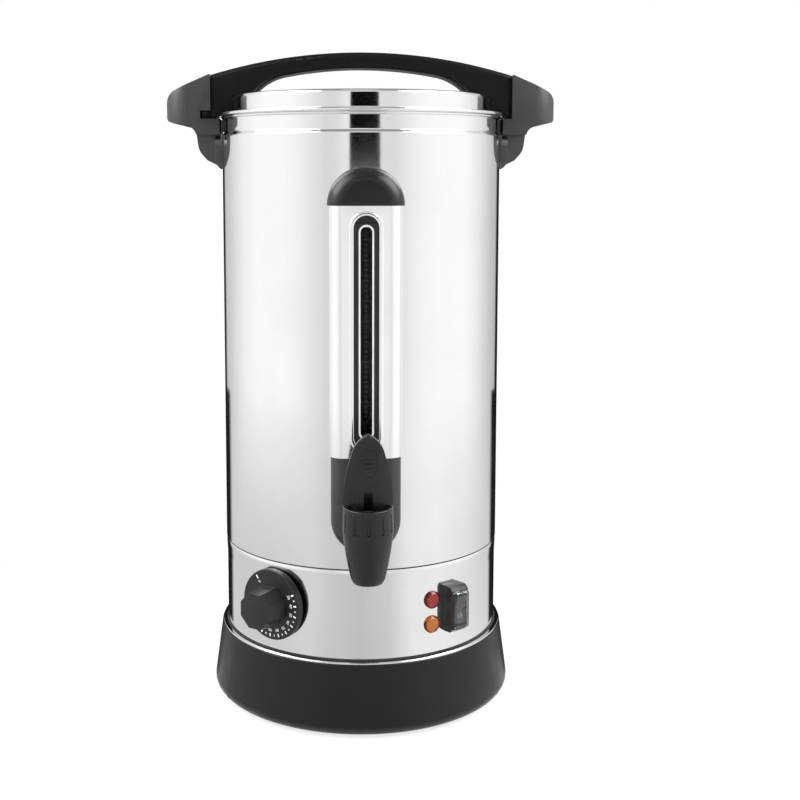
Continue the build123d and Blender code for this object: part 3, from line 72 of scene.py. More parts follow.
# ------------------------------------------------------------ outlines ----
def rounded(corners: Sequence[Corner], closed: bool = True, step: float = 9.0) -> list[Point]:
    """Round the corners of a polyline and guard its straight runs.

    Args:
        corners: (x, y, radius) of each corner, in millimetres.
        closed: whether the last corner joins the first.
        step: largest turn between two points of an arc, in degrees.

    Returns:
        The points of the outline, in order.
    """
    count = len(corners)
    bends: list[list[Vector]] = []
    for index, (x, y, radius) in enumerate(corners):
        here = Vector((x, y))
        if radius <= 0 or (not closed and index in (0, count - 1)):
            bends.append([here])
            continue
        before = (Vector(corners[index - 1][:2]) - here).normalized()
        after = (Vector(corners[(index + 1) % count][:2]) - here).normalized()
        half = math.acos(max(-1.0, min(1.0, before.dot(after)))) / 2
        reach = radius / math.tan(half)
        centre = here + (before + after).normalized() * radius / math.sin(half)
        start, end = here + before * reach - centre, here + after * reach - centre
        turn = math.pi - 2 * half
        parts = max(2, math.ceil(math.degrees(turn) / step))
        sign = 1 if start.cross(end) > 0 else -1
        bends.append([centre + Matrix.Rotation(sign * turn * part / parts, 2) @ start
                      for part in range(parts + 1)])
    points: list[Point] = []
    for index, bend in enumerate(bends):
        points += [(p.x, p.y) for p in bend]
        if not closed and index == count - 1:
            break
        start, end = bend[-1], bends[(index + 1) % count][0]
        run = end - start
        if run.length > 4 * GUARD:
            for share in (GUARD / run.length, 1 - GUARD / run.length):
                spot = start + run * share
                points.append((spot.x, spot.y))
    return points


def circle_points(centre: Point, radius: float, start: float, end: float,
                  parts: int) -> list[Point]:
    """Points of an arc from one angle to another, in degrees."""
    angles = [math.radians(start + (end - start) * part / parts) for part in range(parts + 1)]
    return [(centre[0] + radius * math.cos(a), centre[1] + radius * math.sin(a))
            for a in angles]


def capsule(middle: float, run: float, radius: float, parts: int) -> list[Point]:
    """Outline of an upright slot with round ends, as (x, height)."""
    return (circle_points((0, middle + run), radius, 0, 180, parts)
            + circle_points((0, middle - run), radius, 180, 360, parts))


def rolled_edge(curl: float, sheet: float) -> float:
    """Distance from a curl's centre to where its roll meets the sheet's far side."""
    return math.sqrt(curl**2 - (curl - sheet)**2)


# --------------------------------------------------------------- meshes ----
def added(name: str, data: bpy.types.ID) -> bpy.types.Object:
    """Link data as an object at the origin.

    Args:
        name: name of the object.
        data: its mesh, curve, lamp or camera.

    Returns:
        The object.
    """
    item = bpy.data.objects.new(name, data)
    bpy.context.scene.collection.objects.link(item)
    return item


def shaded(mesh: bpy.types.Mesh, sharp: float) -> bpy.types.Mesh:
    """Shade a mesh smooth up to an angle, in degrees.

    Args:
        mesh: the mesh.
        sharp: the angle above which an edge is sharp.

    Returns:
        The same mesh.
    """
    mesh.shade_smooth()
    mesh.set_sharp_from_angle(angle=math.radians(sharp))
    return mesh


def settled(name: str, work: bmesh.types.BMesh, sharp: float = SHARP) -> bpy.types.Object:
    """Turn a working mesh into a linked and shaded piece.

    Args:
        name: name of the piece.
        work: the working mesh, which is freed.
        sharp: angle above which an edge is sharp, in degrees.

    Returns:
        The piece.
    """
    mesh = bpy.data.meshes.new(name)
    work.to_mesh(mesh)
    work.free()
    return added(name, shaded(mesh, sharp))


def evaluated(piece: bpy.types.Object) -> bpy.types.Mesh:
    """The mesh of an object with its modifiers, as a new mesh.

    Args:
        piece: the object.

    Returns:
        The new mesh.
    """
    bpy.context.view_layer.update()
    graph = bpy.context.evaluated_depsgraph_get()
    return bpy.data.meshes.new_from_object(piece.evaluated_get(graph))


def applied(piece: bpy.types.Object, sharp: float = SHARP) -> None:
    """Turn a piece and its modifiers into a plain mesh.

    Args:
        piece: the piece.
        sharp: angle above which an edge is sharp, in degrees.
    """
    mesh = evaluated(piece)
    piece.modifiers.clear()
    piece.data = shaded(mesh, sharp)


def moved(mesh: bpy.types.Mesh, place: Matrix) -> bpy.types.Mesh:
    """Apply a place in millimetres to a mesh in millimetres."""
    mesh.transform(Matrix.Scale(MM, 4) @ place)
    return mesh


def mesh_object(name: str, vertices: Sequence[Sequence[float]],
                faces: Sequence[Sequence[int]]) -> bpy.types.Object:
    """Make a piece with outward faces from vertices in millimetres.

    Args:
        name: name of the piece.
        vertices: its corners.
        faces: vertex numbers of each face.

    Returns:
        The piece.
    """
    mesh = bpy.data.meshes.new(name + "_raw")
    mesh.from_pydata([Vector(v) * MM for v in vertices], [], faces)
    work = bmesh.new()
    work.from_mesh(mesh)
    bpy.data.meshes.remove(mesh)
    bmesh.ops.remove_doubles(work, verts=work.verts, dist=MERGE)
    bmesh.ops.recalc_face_normals(work, faces=work.faces)
    return settled(name, work)


def lathe(name: str, outline: Sequence[Point], closed: bool = True, segments: int = 256,
          place: Matrix = NO_TURN) -> bpy.types.Object:
    """Turn an outline of (radius, height) round the upright axis.

    Args:
        name: name of the piece.
        outline: points of the section, in millimetres.
        closed: whether the last point joins the first.
        segments: steps round the axis.
        place: matrix from the turning axis to the frame, in millimetres.

    Returns:
        The turned piece.
    """
    vertices: list[Vector] = []
    rings: list[list[int]] = []
    for radius, height in outline:
        if radius < 1e-6:
            rings.append([len(vertices)] * segments)
            vertices.append(Vector((0, 0, height)))
            continue
        rings.append(list(range(len(vertices), len(vertices) + segments)))
        for step in range(segments):
            angle = FULL_TURN * step / segments
            vertices.append(Vector((radius * math.cos(angle), radius * math.sin(angle), height)))
    faces: list[list[int]] = []
    for low, high in [*zip(rings, rings[1:])] + ([(rings[-1], rings[0])] if closed else []):
        for step in range(segments):
            after = (step + 1) % segments
            face = [low[step], low[after], high[after], high[step]]
            face = [v for k, v in enumerate(face) if v != face[k - 1]]
            if len(face) > 2:
                faces.append(face)
    return mesh_object(name, [place @ v for v in vertices], faces)


def prism(name: str, outline: Sequence[Point], low: float, high: float,
          place: Matrix = NO_TURN) -> bpy.types.Object:
    """Raise an outline from one level to another in a local frame.

    The faces are made in a fixed order, so that every run gives the same piece.

    Args:
        name: name of the piece.
        outline: closed outline in the local X and Y, in millimetres.
        low: local Z of the bottom.
        high: local Z of the top.
        place: matrix from the local frame to the model's frame.

    Returns:
        The raised piece.
    """
    work = bmesh.new()
    ring = [work.verts.new((x, y, low)) for x, y in outline]
    size = len(ring)
    edges = [work.edges.new((ring[k], ring[(k + 1) % size])) for k in range(size)]
    bmesh.ops.triangle_fill(work, edges=edges, use_beauty=True)
    work.verts.index_update()
    caps = sorted(sorted(vert.index for vert in face.verts) for face in work.faces)
    work.clear()
    verts = [work.verts.new((x, y, z)) for z in (low, high) for x, y in outline]
    sides = [[k, (k + 1) % size, size + (k + 1) % size, size + k] for k in range(size)]
    for face in caps + sides + [[size + k for k in cap] for cap in caps]:
        work.faces.new([verts[k] for k in face])
    bmesh.ops.transform(work, matrix=Matrix.Scale(MM, 4) @ place, verts=work.verts)
    bmesh.ops.recalc_face_normals(work, faces=work.faces)
    return settled(name, work)


def loft(name: str, profile: Sequence[Point],
         loop: Callable[[float], list[Point]]) -> bpy.types.Object:
    """Carry a closed profile round an upright loop.

    Args:
        name: name of the piece.
        profile: (growth of the loop, depth) of each point, in millimetres.
        loop: gives the loop's (x, height) for a growth.

    Returns:
        The closed piece.
    """
    loops = [[(x, depth, z) for x, z in loop(grow)] for grow, depth in profile]
    size = len(loops[0])
    faces = []
    for low in range(len(loops)):
        high = (low + 1) % len(loops)
        for step in range(size):
            after = (step + 1) % size
            faces.append((low * size + step, low * size + after,
                          high * size + after, high * size + step))
    return mesh_object(name, [point for ring in loops for point in ring], faces)


def moulded(node: str, name: str, edge: float = 0.0, segments: int = 3) -> bpy.types.Object:
    """Copy a node's solid and round its edges as a mould leaves them.

    Args:
        node: the CAD node to copy.
        name: name of the copy.
        edge: radius of the rounded edges, in millimetres.
        segments: faces across a rounded edge.

    Returns:
        The copy, with plain merged faces.
    """
    work = bmesh.new()
    work.from_mesh(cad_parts[node].data)
    bmesh.ops.remove_doubles(work, verts=work.verts, dist=WELD)
    bmesh.ops.dissolve_degenerate(work, edges=work.edges, dist=SLIVER)
    bmesh.ops.dissolve_limit(work, angle_limit=math.radians(FLAT), verts=work.verts,
                             edges=work.edges, delimit={"NORMAL"})
    piece = settled(name, work, MOULD_SHARP)
    if edge > 0:
        bevel = piece.modifiers.new("edge", "BEVEL")
        bevel.width = edge * MM
        bevel.segments = segments
        bevel.limit_method = "ANGLE"
        bevel.angle_limit = math.radians(MOULD_EDGE)
        bevel.use_clamp_overlap = True
        bevel.harden_normals = False
        applied(piece, MOULD_SHARP)
    return piece


def outwards(angle: float) -> Vector:
    """Level direction away from the axis, in degrees from the front towards +X."""
    return Vector((math.sin(math.radians(angle)), -math.cos(math.radians(angle)), 0))


def face_matrix(angle: float, reach: float, height: float) -> Matrix:
    """Place of a face that looks outwards from the axis, with local Y upwards.

    Args:
        angle: degrees from the front, positive towards +X.
        reach: distance from the axis, in millimetres.
        height: height in millimetres.

    Returns:
        The matrix from the face to the frame, in millimetres.
    """
    out = outwards(angle)
    sideways = Vector((-out.y, out.x, 0))
    columns = Matrix((sideways, Vector((0, 0, 1)), out)).transposed().to_4x4()
    return Matrix.Translation((reach * out.x, reach * out.y, height)) @ columns


def figures(name: str, marks: Sequence[tuple[str, Matrix]], size: float,
            depth: float) -> bpy.types.Object:
    """Raise short plain marks, each at its own place.

    Args:
        name: name of the piece.
        marks: the text of each mark and its place in millimetres.
        size: height of the type, in millimetres.
        depth: thickness of the print, in millimetres.

    Returns:
        All marks as one piece.
    """
    work = bmesh.new()
    for index, (text, place) in enumerate(marks):
        curve = bpy.data.curves.new(f"{name}_{index}", "FONT")
        curve.body, curve.size, curve.extrude = text, size, depth / 2
        curve.align_x, curve.align_y = "CENTER", "CENTER"
        curve.resolution_u = 2
        holder = added(f"{name}_{index}", curve)
        mesh = evaluated(holder)
        work.from_mesh(moved(mesh, place))
        bpy.data.objects.remove(holder)
        bpy.data.meshes.remove(mesh)
    bmesh.ops.remove_doubles(work, verts=work.verts, dist=MERGE)
    bmesh.ops.recalc_face_normals(work, faces=work.faces)
    return settled(name, work, PRINT_SHARP)


# ---------------------------------------------------------------- nodes ----
@dataclass
class NodePen:
    """Adds nodes to one tree, with their values and links."""

    tree: bpy.types.NodeTree

    def feed(self, node: bpy.types.Node, key: object, value: object) -> None:
        """Link a socket to a node's input, or give the input a value.

        Args:
            node: the node.
            key: name or number of the input.
            value: the socket or the value.
        """
        if isinstance(value, bpy.types.NodeSocket):
            self.tree.links.new(value, node.inputs[key])
        else:
            node.inputs[key].default_value = value

    def add(self, kind: str, **values: object) -> bpy.types.Node:
        """Add a node.

        Args:
            kind: type of the node.
            **values: its properties, in small letters, and what its inputs
                get, by their names with _ for a space.

        Returns:
            The node.
        """
        node = self.tree.nodes.new(kind)
        for key, value in values.items():
            if key[0].islower():
                setattr(node, key, value)
        for key, value in values.items():
            if not key[0].islower():
                self.feed(node, key.replace("_", " "), value)
        return node

    def calc(self, operation: str, *values: object) -> bpy.types.NodeSocket:
        """Do one step of arithmetic on sockets and numbers.

        Args:
            operation: the step.
            *values: its sockets and numbers, in order.

        Returns:
            The result.
        """
        node = self.add("ShaderNodeMath", operation=operation)
        for slot, value in enumerate(values):
            self.feed(node, slot, value)
        return node.outputs[0]

    def mix(self, share: object, first: object, second: object,
            blend: str = "MIX") -> bpy.types.NodeSocket:
        """Mix two colours, each a socket or a value.

        Args:
            share: share of the second.
            first: first colour.
            second: second colour.
            blend: way of mixing.

        Returns:
            The mixed colour.
        """
        node = self.add("ShaderNodeMix", data_type="RGBA", blend_type=blend)
        for slot, value in zip((0, 6, 7), (share, first, second)):
            self.feed(node, slot, value)
        return node.outputs[2]

    def range(self, value: bpy.types.NodeSocket, low: float, high: float, to_low: float = 0.0,
              to_high: float = 1.0) -> bpy.types.NodeSocket:
        """Map a value from one range to another, clamped."""
        return self.add("ShaderNodeMapRange", Value=value, From_Min=low, From_Max=high,
                        To_Min=to_low, To_Max=to_high).outputs["Result"]

    def place(self) -> bpy.types.NodeSocket:
        """The place in the frame that is being shaded."""
        return self.add("ShaderNodeTexCoord").outputs["Object"]

    def noise(self, place: bpy.types.NodeSocket, **values: object) -> bpy.types.NodeSocket:
        """A noise at a place, with the node's inputs by name."""
        return self.add("ShaderNodeTexNoise", Vector=place, **values).outputs["Fac"]

    def length(self, place: bpy.types.NodeSocket) -> bpy.types.NodeSocket:
        """Distance of a place from the origin.

        Args:
            place: the place.

        Returns:
            The distance.
        """
        node = self.add("ShaderNodeVectorMath", operation="LENGTH")
        self.feed(node, 0, place)
        return node.outputs["Value"]


@dataclass
class Repeater:
    """A Geometry Nodes tree that repeats a small bar.

    The bars stand in a row along Y or round a circle, with their length
    across the row or out from the centre.
    """

    name: str
    round_circle: bool = False

    def tree(self) -> bpy.types.NodeTree:
        """Return the tree, made on its first use.

        Returns:
            The tree.
        """
        made = bpy.data.node_groups.get(self.name)
        if made is not None:
            return made
        group = bpy.data.node_groups.new(self.name, "GeometryNodeTree")
        for label, kind in (("Count", "Int"), ("Step", "Float"), ("Start", "Float"),
                            ("Radius", "Float"), ("Bar Size", "Vector"), ("Finish", "Material")):
            group.interface.new_socket(name=label, in_out="INPUT", socket_type="NodeSocket" + kind)
        group.interface.new_socket(name="Geometry", in_out="OUTPUT",
                                   socket_type="NodeSocketGeometry")
        pen = NodePen(group)
        entry = pen.add("NodeGroupInput").outputs
        line = pen.add("GeometryNodeMeshLine", Count=entry["Count"]).outputs["Mesh"]
        index = pen.add("GeometryNodeInputIndex").outputs["Index"]
        travel = pen.calc("MULTIPLY_ADD", index, entry["Step"], entry["Start"])
        spot, turn = pen.add("ShaderNodeCombineXYZ"), pen.add("ShaderNodeCombineXYZ")
        if self.round_circle:
            for operation, axis in (("SINE", "X"), ("COSINE", "Y")):
                reach = pen.calc("MULTIPLY", pen.calc(operation, travel), entry["Radius"])
                pen.feed(spot, axis, reach)
            pen.feed(turn, "Z", pen.calc("MULTIPLY", travel, -1.0))
        else:
            pen.feed(spot, "Y", travel)
        points = pen.add("GeometryNodeSetPosition", Geometry=line, Position=spot.outputs[0])
        bar = pen.add("GeometryNodeMeshCube", Size=entry["Bar Size"])
        stand = pen.add("GeometryNodeInstanceOnPoints", Points=points.outputs[0],
                        Instance=bar.outputs["Mesh"], Rotation=turn.outputs[0])
        solid = pen.add("GeometryNodeRealizeInstances", Geometry=stand.outputs[0])
        finish = pen.add("GeometryNodeSetMaterial", Geometry=solid.outputs[0],
                         Material=entry["Finish"])
        pen.add("NodeGroupOutput", Geometry=finish.outputs[0])
        return group

    def make(self, name: str, place: Matrix, finish: "Finish",
             **sizes: object) -> bpy.types.Object:
        """Repeat the bar and return the result as a plain piece.

        Args:
            name: name of the piece.
            place: matrix from the row's frame to the model's, in millimetres.
            finish: finish of the bars.
            **sizes: values of the tree's inputs, with _ for a space.

        Returns:
            The piece, at the origin.
        """
        carrier = added(name + "_carrier", bpy.data.meshes.new(name + "_carrier"))
        repeat = carrier.modifiers.new("repeat", "NODES")
        repeat.node_group = self.tree()
        values = {key.replace("_", " "): value for key, value in sizes.items()}
        values["Finish"] = finish.material()
        for item in repeat.node_group.interface.items_tree:
            if getattr(item, "in_out", "") == "INPUT" and item.name in values:
                repeat[item.identifier] = values[item.name]
        mesh = evaluated(carrier)
        mesh.name = name
        bpy.data.objects.remove(carrier)
        return added(name, shaded(moved(mesh, place), PRINT_SHARP))


# ------------------------------------------------------- shader effects ----
def grain(pen: NodePen, place: bpy.types.NodeSocket,
          scale: bpy.types.NodeSocket) -> dict[str, bpy.types.NodeSocket]:
    """Fine spark-eroded grain of a plastic mould: a height and a mask.

    Args:
        pen: pen of the effect's tree.
        place: the place that is shaded.
        scale: the effect's scale.

    Returns:
        The effect's outputs by name.
    """
    fine = pen.noise(place, Scale=scale, Detail=3.0, Roughness=0.62)
    broad = pen.noise(place, Scale=55.0, Detail=4.0, Roughness=0.55)
    return {"Height": pen.range(fine, 0.3, 0.7), "Mask": pen.range(broad, 0.35, 0.68)}


def sheen(pen: NodePen, place: bpy.types.NodeSocket,
          scale: bpy.types.NodeSocket) -> dict[str, bpy.types.NodeSocket]:
    """Rolled and polished sheet: faint lines round the drum and soft clouds.

    Args:
        pen: pen of the effect's tree.
        place: the place that is shaded.
        scale: the effect's scale.

    Returns:
        The effect's outputs by name.
    """
    stretch = pen.add("ShaderNodeMapping", Vector=place, Scale=(0.02, 0.02, 1.0))
    lines = pen.noise(stretch.outputs["Vector"], Scale=scale, Detail=4.0, Roughness=0.7)
    cloud = pen.noise(place, Scale=22.0, Detail=5.0, Roughness=0.6)
    return {"Height": pen.range(lines, 0.3, 0.7), "Mask": pen.range(cloud, 0.4, 0.7)}


def handling(pen: NodePen, place: bpy.types.NodeSocket,
             scale: bpy.types.NodeSocket) -> dict[str, bpy.types.NodeSocket]:
    """Where hands and cloths pass: soft smudges.

    Args:
        pen: pen of the effect's tree.
        place: the place that is shaded.
        scale: the effect's scale.

    Returns:
        The effect's outputs by name.
    """
    smudge = pen.noise(place, Scale=scale, Detail=3.0, Roughness=0.5, Distortion=0.6)
    return {"Smudge": pen.range(smudge, 0.45, 0.75)}


class Effect(Enum):
    """Surface effects that several finishes share: group, input, value, nodes."""

    GRAIN = ("moulded_grain", "Scale", 1800.0, grain)
    SHEEN = ("rolled_sheen", "Line Scale", 900.0, sheen)
    HANDLING = ("handling_marks", "Scale", 30.0, handling)

    def group(self) -> bpy.types.NodeTree:
        """Return the effect's node group, made on its first use.

        Returns:
            The group.
        """
        name, label, value, fill = self.value
        made = bpy.data.node_groups.get(name)
        if made is not None:
            return made
        group = bpy.data.node_groups.new(name, "ShaderNodeTree")
        kind = "NodeSocketFloat"
        entry = group.interface.new_socket(name=label, in_out="INPUT", socket_type=kind)
        entry.default_value = value
        pen = NodePen(group)
        results = fill(pen, pen.place(), pen.add("NodeGroupInput").outputs[label])
        for result in results:
            group.interface.new_socket(name=result, in_out="OUTPUT", socket_type=kind)
        pen.add("NodeGroupOutput", **results)
        return group


# ------------------------------------------------------------- finishes ----
def shade(value: float) -> Colour:
    """A neutral colour from one linear value."""
    return (value, value, value)


@dataclass(frozen=True)
class Finish(ABC):
    """What every finish has: its name, colour, roughness and record slot."""

    name: str
    colour: Colour
    roughness: float
    slot: str = ""

    def material(self) -> bpy.types.Material:
        """Return the finish's material, made on its first use.

        Returns:
            The material.
        """
        made = bpy.data.materials.get("finish_" + self.name)
        if made is not None:
            return made
        material = bpy.data.materials.new("finish_" + self.name)
        material.use_nodes = True
        material.diffuse_color = (*self.colour, 1.0)
        tree = material.node_tree
        shader = next(n for n in tree.nodes if n.type == "BSDF_PRINCIPLED")
        shader.inputs["Base Color"].default_value = (*self.colour, 1.0)
        shader.inputs["Roughness"].default_value = self.roughness
        self.paint(NodePen(tree), shader)
        return material

    @abstractmethod
    def paint(self, pen: NodePen, shader: bpy.types.Node) -> None:
        """Add the finish's own nodes and values."""

    @staticmethod
    def effect(pen: NodePen, effect: Effect, **values: object) -> bpy.types.NodeOutputs:
        """Place a shared effect in the material and return its outputs."""
        return pen.add("ShaderNodeGroup", node_tree=effect.group(), **values).outputs

    def vary(self, pen: NodePen, shader: bpy.types.Node, mask: bpy.types.NodeSocket,
             other: Colour, rough_low: float, rough_high: float) -> None:
        """Let a mask move the colour and the roughness.

        Args:
            pen: pen of the material's tree.
            shader: the Principled node.
            mask: the mask, from nought to one.
            other: colour where the mask is one.
            rough_low: roughness where the mask is nought.
            rough_high: roughness where the mask is one.
        """
        pen.feed(shader, "Base Color", pen.mix(mask, (*self.colour, 1.0), (*other, 1.0)))
        pen.feed(shader, "Roughness", pen.range(mask, 0.0, 1.0, rough_low, rough_high))

    @staticmethod
    def raise_by(pen: NodePen, shader: bpy.types.Node, height: bpy.types.NodeSocket,
                 strength: float, depth: float) -> None:
        """Feed a height to the shader's normal through a bump."""
        bump = pen.add("ShaderNodeBump", Strength=strength, Distance=depth, Height=height)
        pen.feed(shader, "Normal", bump.outputs["Normal"])


@dataclass(frozen=True)
class SheetMetal(Finish):
    """Rolled stainless sheet, polished or left dull."""

    line_scale: float = 900.0
    line_depth: float = 2e-7
    cloud: float = 0.05
    cloud_tone: float = 0.965
    bump: float = 0.5

    def paint(self, pen: NodePen, shader: bpy.types.Node) -> None:
        """Metal with faint rolling lines and slow clouds in its gloss.

        Args:
            pen: pen of the material's tree.
            shader: the Principled node.
        """
        shader.inputs["Metallic"].default_value = 1.0
        sheet = self.effect(pen, Effect.SHEEN, Line_Scale=self.line_scale)
        darker = tuple(c * self.cloud_tone for c in self.colour)
        self.vary(pen, shader, sheet["Mask"], darker, self.roughness, self.roughness + self.cloud)
        self.raise_by(pen, shader, sheet["Height"], self.bump, self.line_depth)


@dataclass(frozen=True)
class Moulding(Finish):
    """Moulded plastic or rubber with a fine grain."""

    grain_scale: float = 1800.0
    grain_depth: float = 3e-6
    specular: float = 0.5
    smudge: float = 0.35
    worn_tone: float = 1.18
    dull: float = 0.05
    worn: float = 0.06
    bump: float = 0.35

    def paint(self, pen: NodePen, shader: bpy.types.Node) -> None:
        """Grained surface whose gloss varies where it is handled.

        Args:
            pen: pen of the material's tree.
            shader: the Principled node.
        """
        shader.inputs["Specular IOR Level"].default_value = self.specular
        skin = self.effect(pen, Effect.GRAIN, Scale=self.grain_scale)
        hands = self.effect(pen, Effect.HANDLING)
        both = pen.calc("MULTIPLY_ADD", hands["Smudge"], self.smudge, skin["Mask"])
        lighter = tuple(c * self.worn_tone + 0.001 for c in self.colour)
        self.vary(pen, shader, both, lighter, self.roughness + self.dull,
                  self.roughness - self.worn)
        self.raise_by(pen, shader, skin["Height"], self.bump, self.grain_depth)


@dataclass(frozen=True)
class Clear(Finish):
    """Glass or clear plastic, plain or dyed."""

    ior: float = 1.49
    grain_scale: float = 160.0
    grain_depth: float = 4e-7
    tone: float = 0.94
    haze: float = 0.02
    bump: float = 0.4

    def paint(self, pen: NodePen, shader: bpy.types.Node) -> None:
        """Light passes through, with the faintest waviness on the surface.

        Args:
            pen: pen of the material's tree.
            shader: the Principled node.
        """
        shader.inputs["Transmission Weight"].default_value = 1.0
        shader.inputs["IOR"].default_value = self.ior
        skin = self.effect(pen, Effect.GRAIN, Scale=self.grain_scale)
        self.raise_by(pen, shader, skin["Height"], self.bump, self.grain_depth)
        darker = tuple(c * self.tone for c in self.colour)
        self.vary(pen, shader, skin["Mask"], darker, self.roughness,
                  self.roughness + self.haze)


class Finishes:
    """The urn's finishes, with the record's slot where its name differs."""

    polished_steel = SheetMetal("polished_steel", shade(0.86), 0.07)
    plain_steel = SheetMetal("plain_steel", shade(0.62), 0.28, line_scale=700.0, cloud=0.1)
    zinc_screw = SheetMetal("zinc_screw", (0.66, 0.67, 0.70), 0.3, line_scale=2500.0)
    stem_steel = SheetMetal("stem_steel", shade(0.10), 0.35)
    black_zinc = SheetMetal("black_zinc", shade(0.05), 0.35, "zinc_screw")
    spring_steel = SheetMetal("spring_steel", shade(0.5), 0.3)
    heater_aluminium = SheetMetal("heater_aluminium", (0.78, 0.79, 0.8), 0.42, cloud=0.12)
    element_sheath = SheetMetal("element_sheath", (0.42, 0.36, 0.3), 0.45, cloud=0.15)
    pin_brass = SheetMetal("pin_brass", (0.78, 0.66, 0.4), 0.22)
    bulb_copper = SheetMetal("bulb_copper", (0.76, 0.42, 0.28), 0.25)
    # The gauge cover's steel is the polished steel made lighter. This is painted light: its
    # reflections are brighter than the drum's.
    gauge_steel_painted_light = SheetMetal("gauge_steel_painted_light", shade(0.93), 0.09, "polished_steel",
                             line_scale=1200.0)
    # These black plastics are one plastic in lit and shaded copies. The bar's, the gauge dome's
    # and the base's colour is darker as painted shade, and the bar's gloss is lower. The side
    # grips' and the gauge foot's colour is lighter and their gloss higher as painted light.
    black_plastic = Moulding("black_plastic", shade(0.004), 0.34, specular=0.42)
    bar_plastic_painted_shade = Moulding("bar_plastic_painted_shade", shade(0.002), 0.38, "black_plastic", specular=0.18)
    grip_plastic_painted_light = Moulding("grip_plastic_painted_light", shade(0.009), 0.4, "black_plastic", specular=0.8)
    cap_plastic_painted_shade = Moulding("cap_plastic_painted_shade", shade(0.003), 0.36, "black_plastic", specular=0.4)
    foot_plastic_painted_light = Moulding("foot_plastic_painted_light", shade(0.006), 0.34, "black_plastic", specular=0.75)
    base_plastic_painted_shade = Moulding("base_plastic_painted_shade", shade(0.002), 0.37, "black_plastic", specular=0.33)
    dial_plastic = Moulding("dial_plastic", shade(0.008), 0.36, specular=0.35)
    gloss_plastic = Moulding("gloss_plastic", shade(0.016), 0.2, "black_plastic",
                             grain_depth=8e-7, specular=0.2)
    rocker_plastic = Moulding("rocker_plastic", shade(0.09), 0.34, "black_plastic")
    lip_plastic = Moulding("lip_plastic", shade(0.5), 0.35, "black_plastic", grain_depth=8e-7)
    scale_grey = Moulding("scale_grey", shade(0.06), 0.5, "black_plastic", grain_depth=5e-7)
    black_rubber = Moulding("black_rubber", shade(0.014), 0.7, specular=0.3)
    bakelite = Moulding("bakelite", (0.05, 0.032, 0.024), 0.35)
    seal_silicone = Moulding("seal_silicone", (0.55, 0.55, 0.53), 0.5, grain_scale=900.0)
    print_white = Moulding("print_white", shade(0.72), 0.5, "dial_plastic", grain_depth=5e-7)
    clear_boot = Clear("clear_boot", shade(0.78), 0.14, ior=1.4)
    tube_glass = Clear("tube_glass", shade(0.9), 0.02, ior=1.13)
    red_lens = Clear("red_lens", (0.36, 0.022, 0.02), 0.1)
    amber_lens = Clear("amber_lens", (0.56, 0.17, 0.02), 0.1)


def dress(piece: bpy.types.Object, material: bpy.types.Material) -> None:
    """Give a whole piece one material."""
    piece.data.materials.clear()
    piece.data.materials.append(material)


# --------------------------------------------------------- sub-assemblies ----
class SubAssembly(ABC):
    """A group of pieces that is built and dressed together."""

    body: str = "urn"

    @abstractmethod
    def build(self) -> None:
        """Make the group's meshes and hand them to the frame."""

    def dress_nodes(self, finish: Finish, *nodes: str) -> None:
        """Finish the CAD nodes that keep their own shape.

        Args:
            finish: their finish.
            *nodes: their names.
        """
        for node in nodes:
            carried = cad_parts[node]
            for slot in carried.material_slots:
                slot.material = finish.material()
            if not carried.material_slots:
                carried.data.materials.append(finish.material())
            log.info("node %s keeps its shape, finish %s", node, finish.name)

    def place(self, piece: bpy.types.Object, finish: Finish, *nodes: str, slot: str = "",
              body: Optional[str] = None) -> None:
        """Finish a piece and put it on its body.

        Args:
            piece: the piece, in place in the frame.
            finish: its finish.
            *nodes: the CAD nodes it stands for.
            slot: the record's material slot, when it differs from the finish's; not used.
            body: the body it rides on, when it differs from the group's.
        """
        dress(piece, finish.material())
        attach(piece, body or self.body)
        if nodes:
            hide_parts(*nodes)
        log.info("piece %s on %s, finish %s", piece.name, body or self.body, finish.name)

    def mould(self, node: str, name: str, finish: Finish, edge: float = 0.0, segments: int = 3,
              body: Optional[str] = None) -> None:
        """Place a node's solid with rounded edges instead of the node.

        Args:
            node: the CAD node.
            name: name of the piece.
            finish: its finish.
            edge: radius of the rounded edges, in millimetres.
            segments: faces across a rounded edge.
            body: the body it rides on, when it differs from the group's.
        """
        self.place(moulded(node, name, edge, segments), finish, node, body=body)


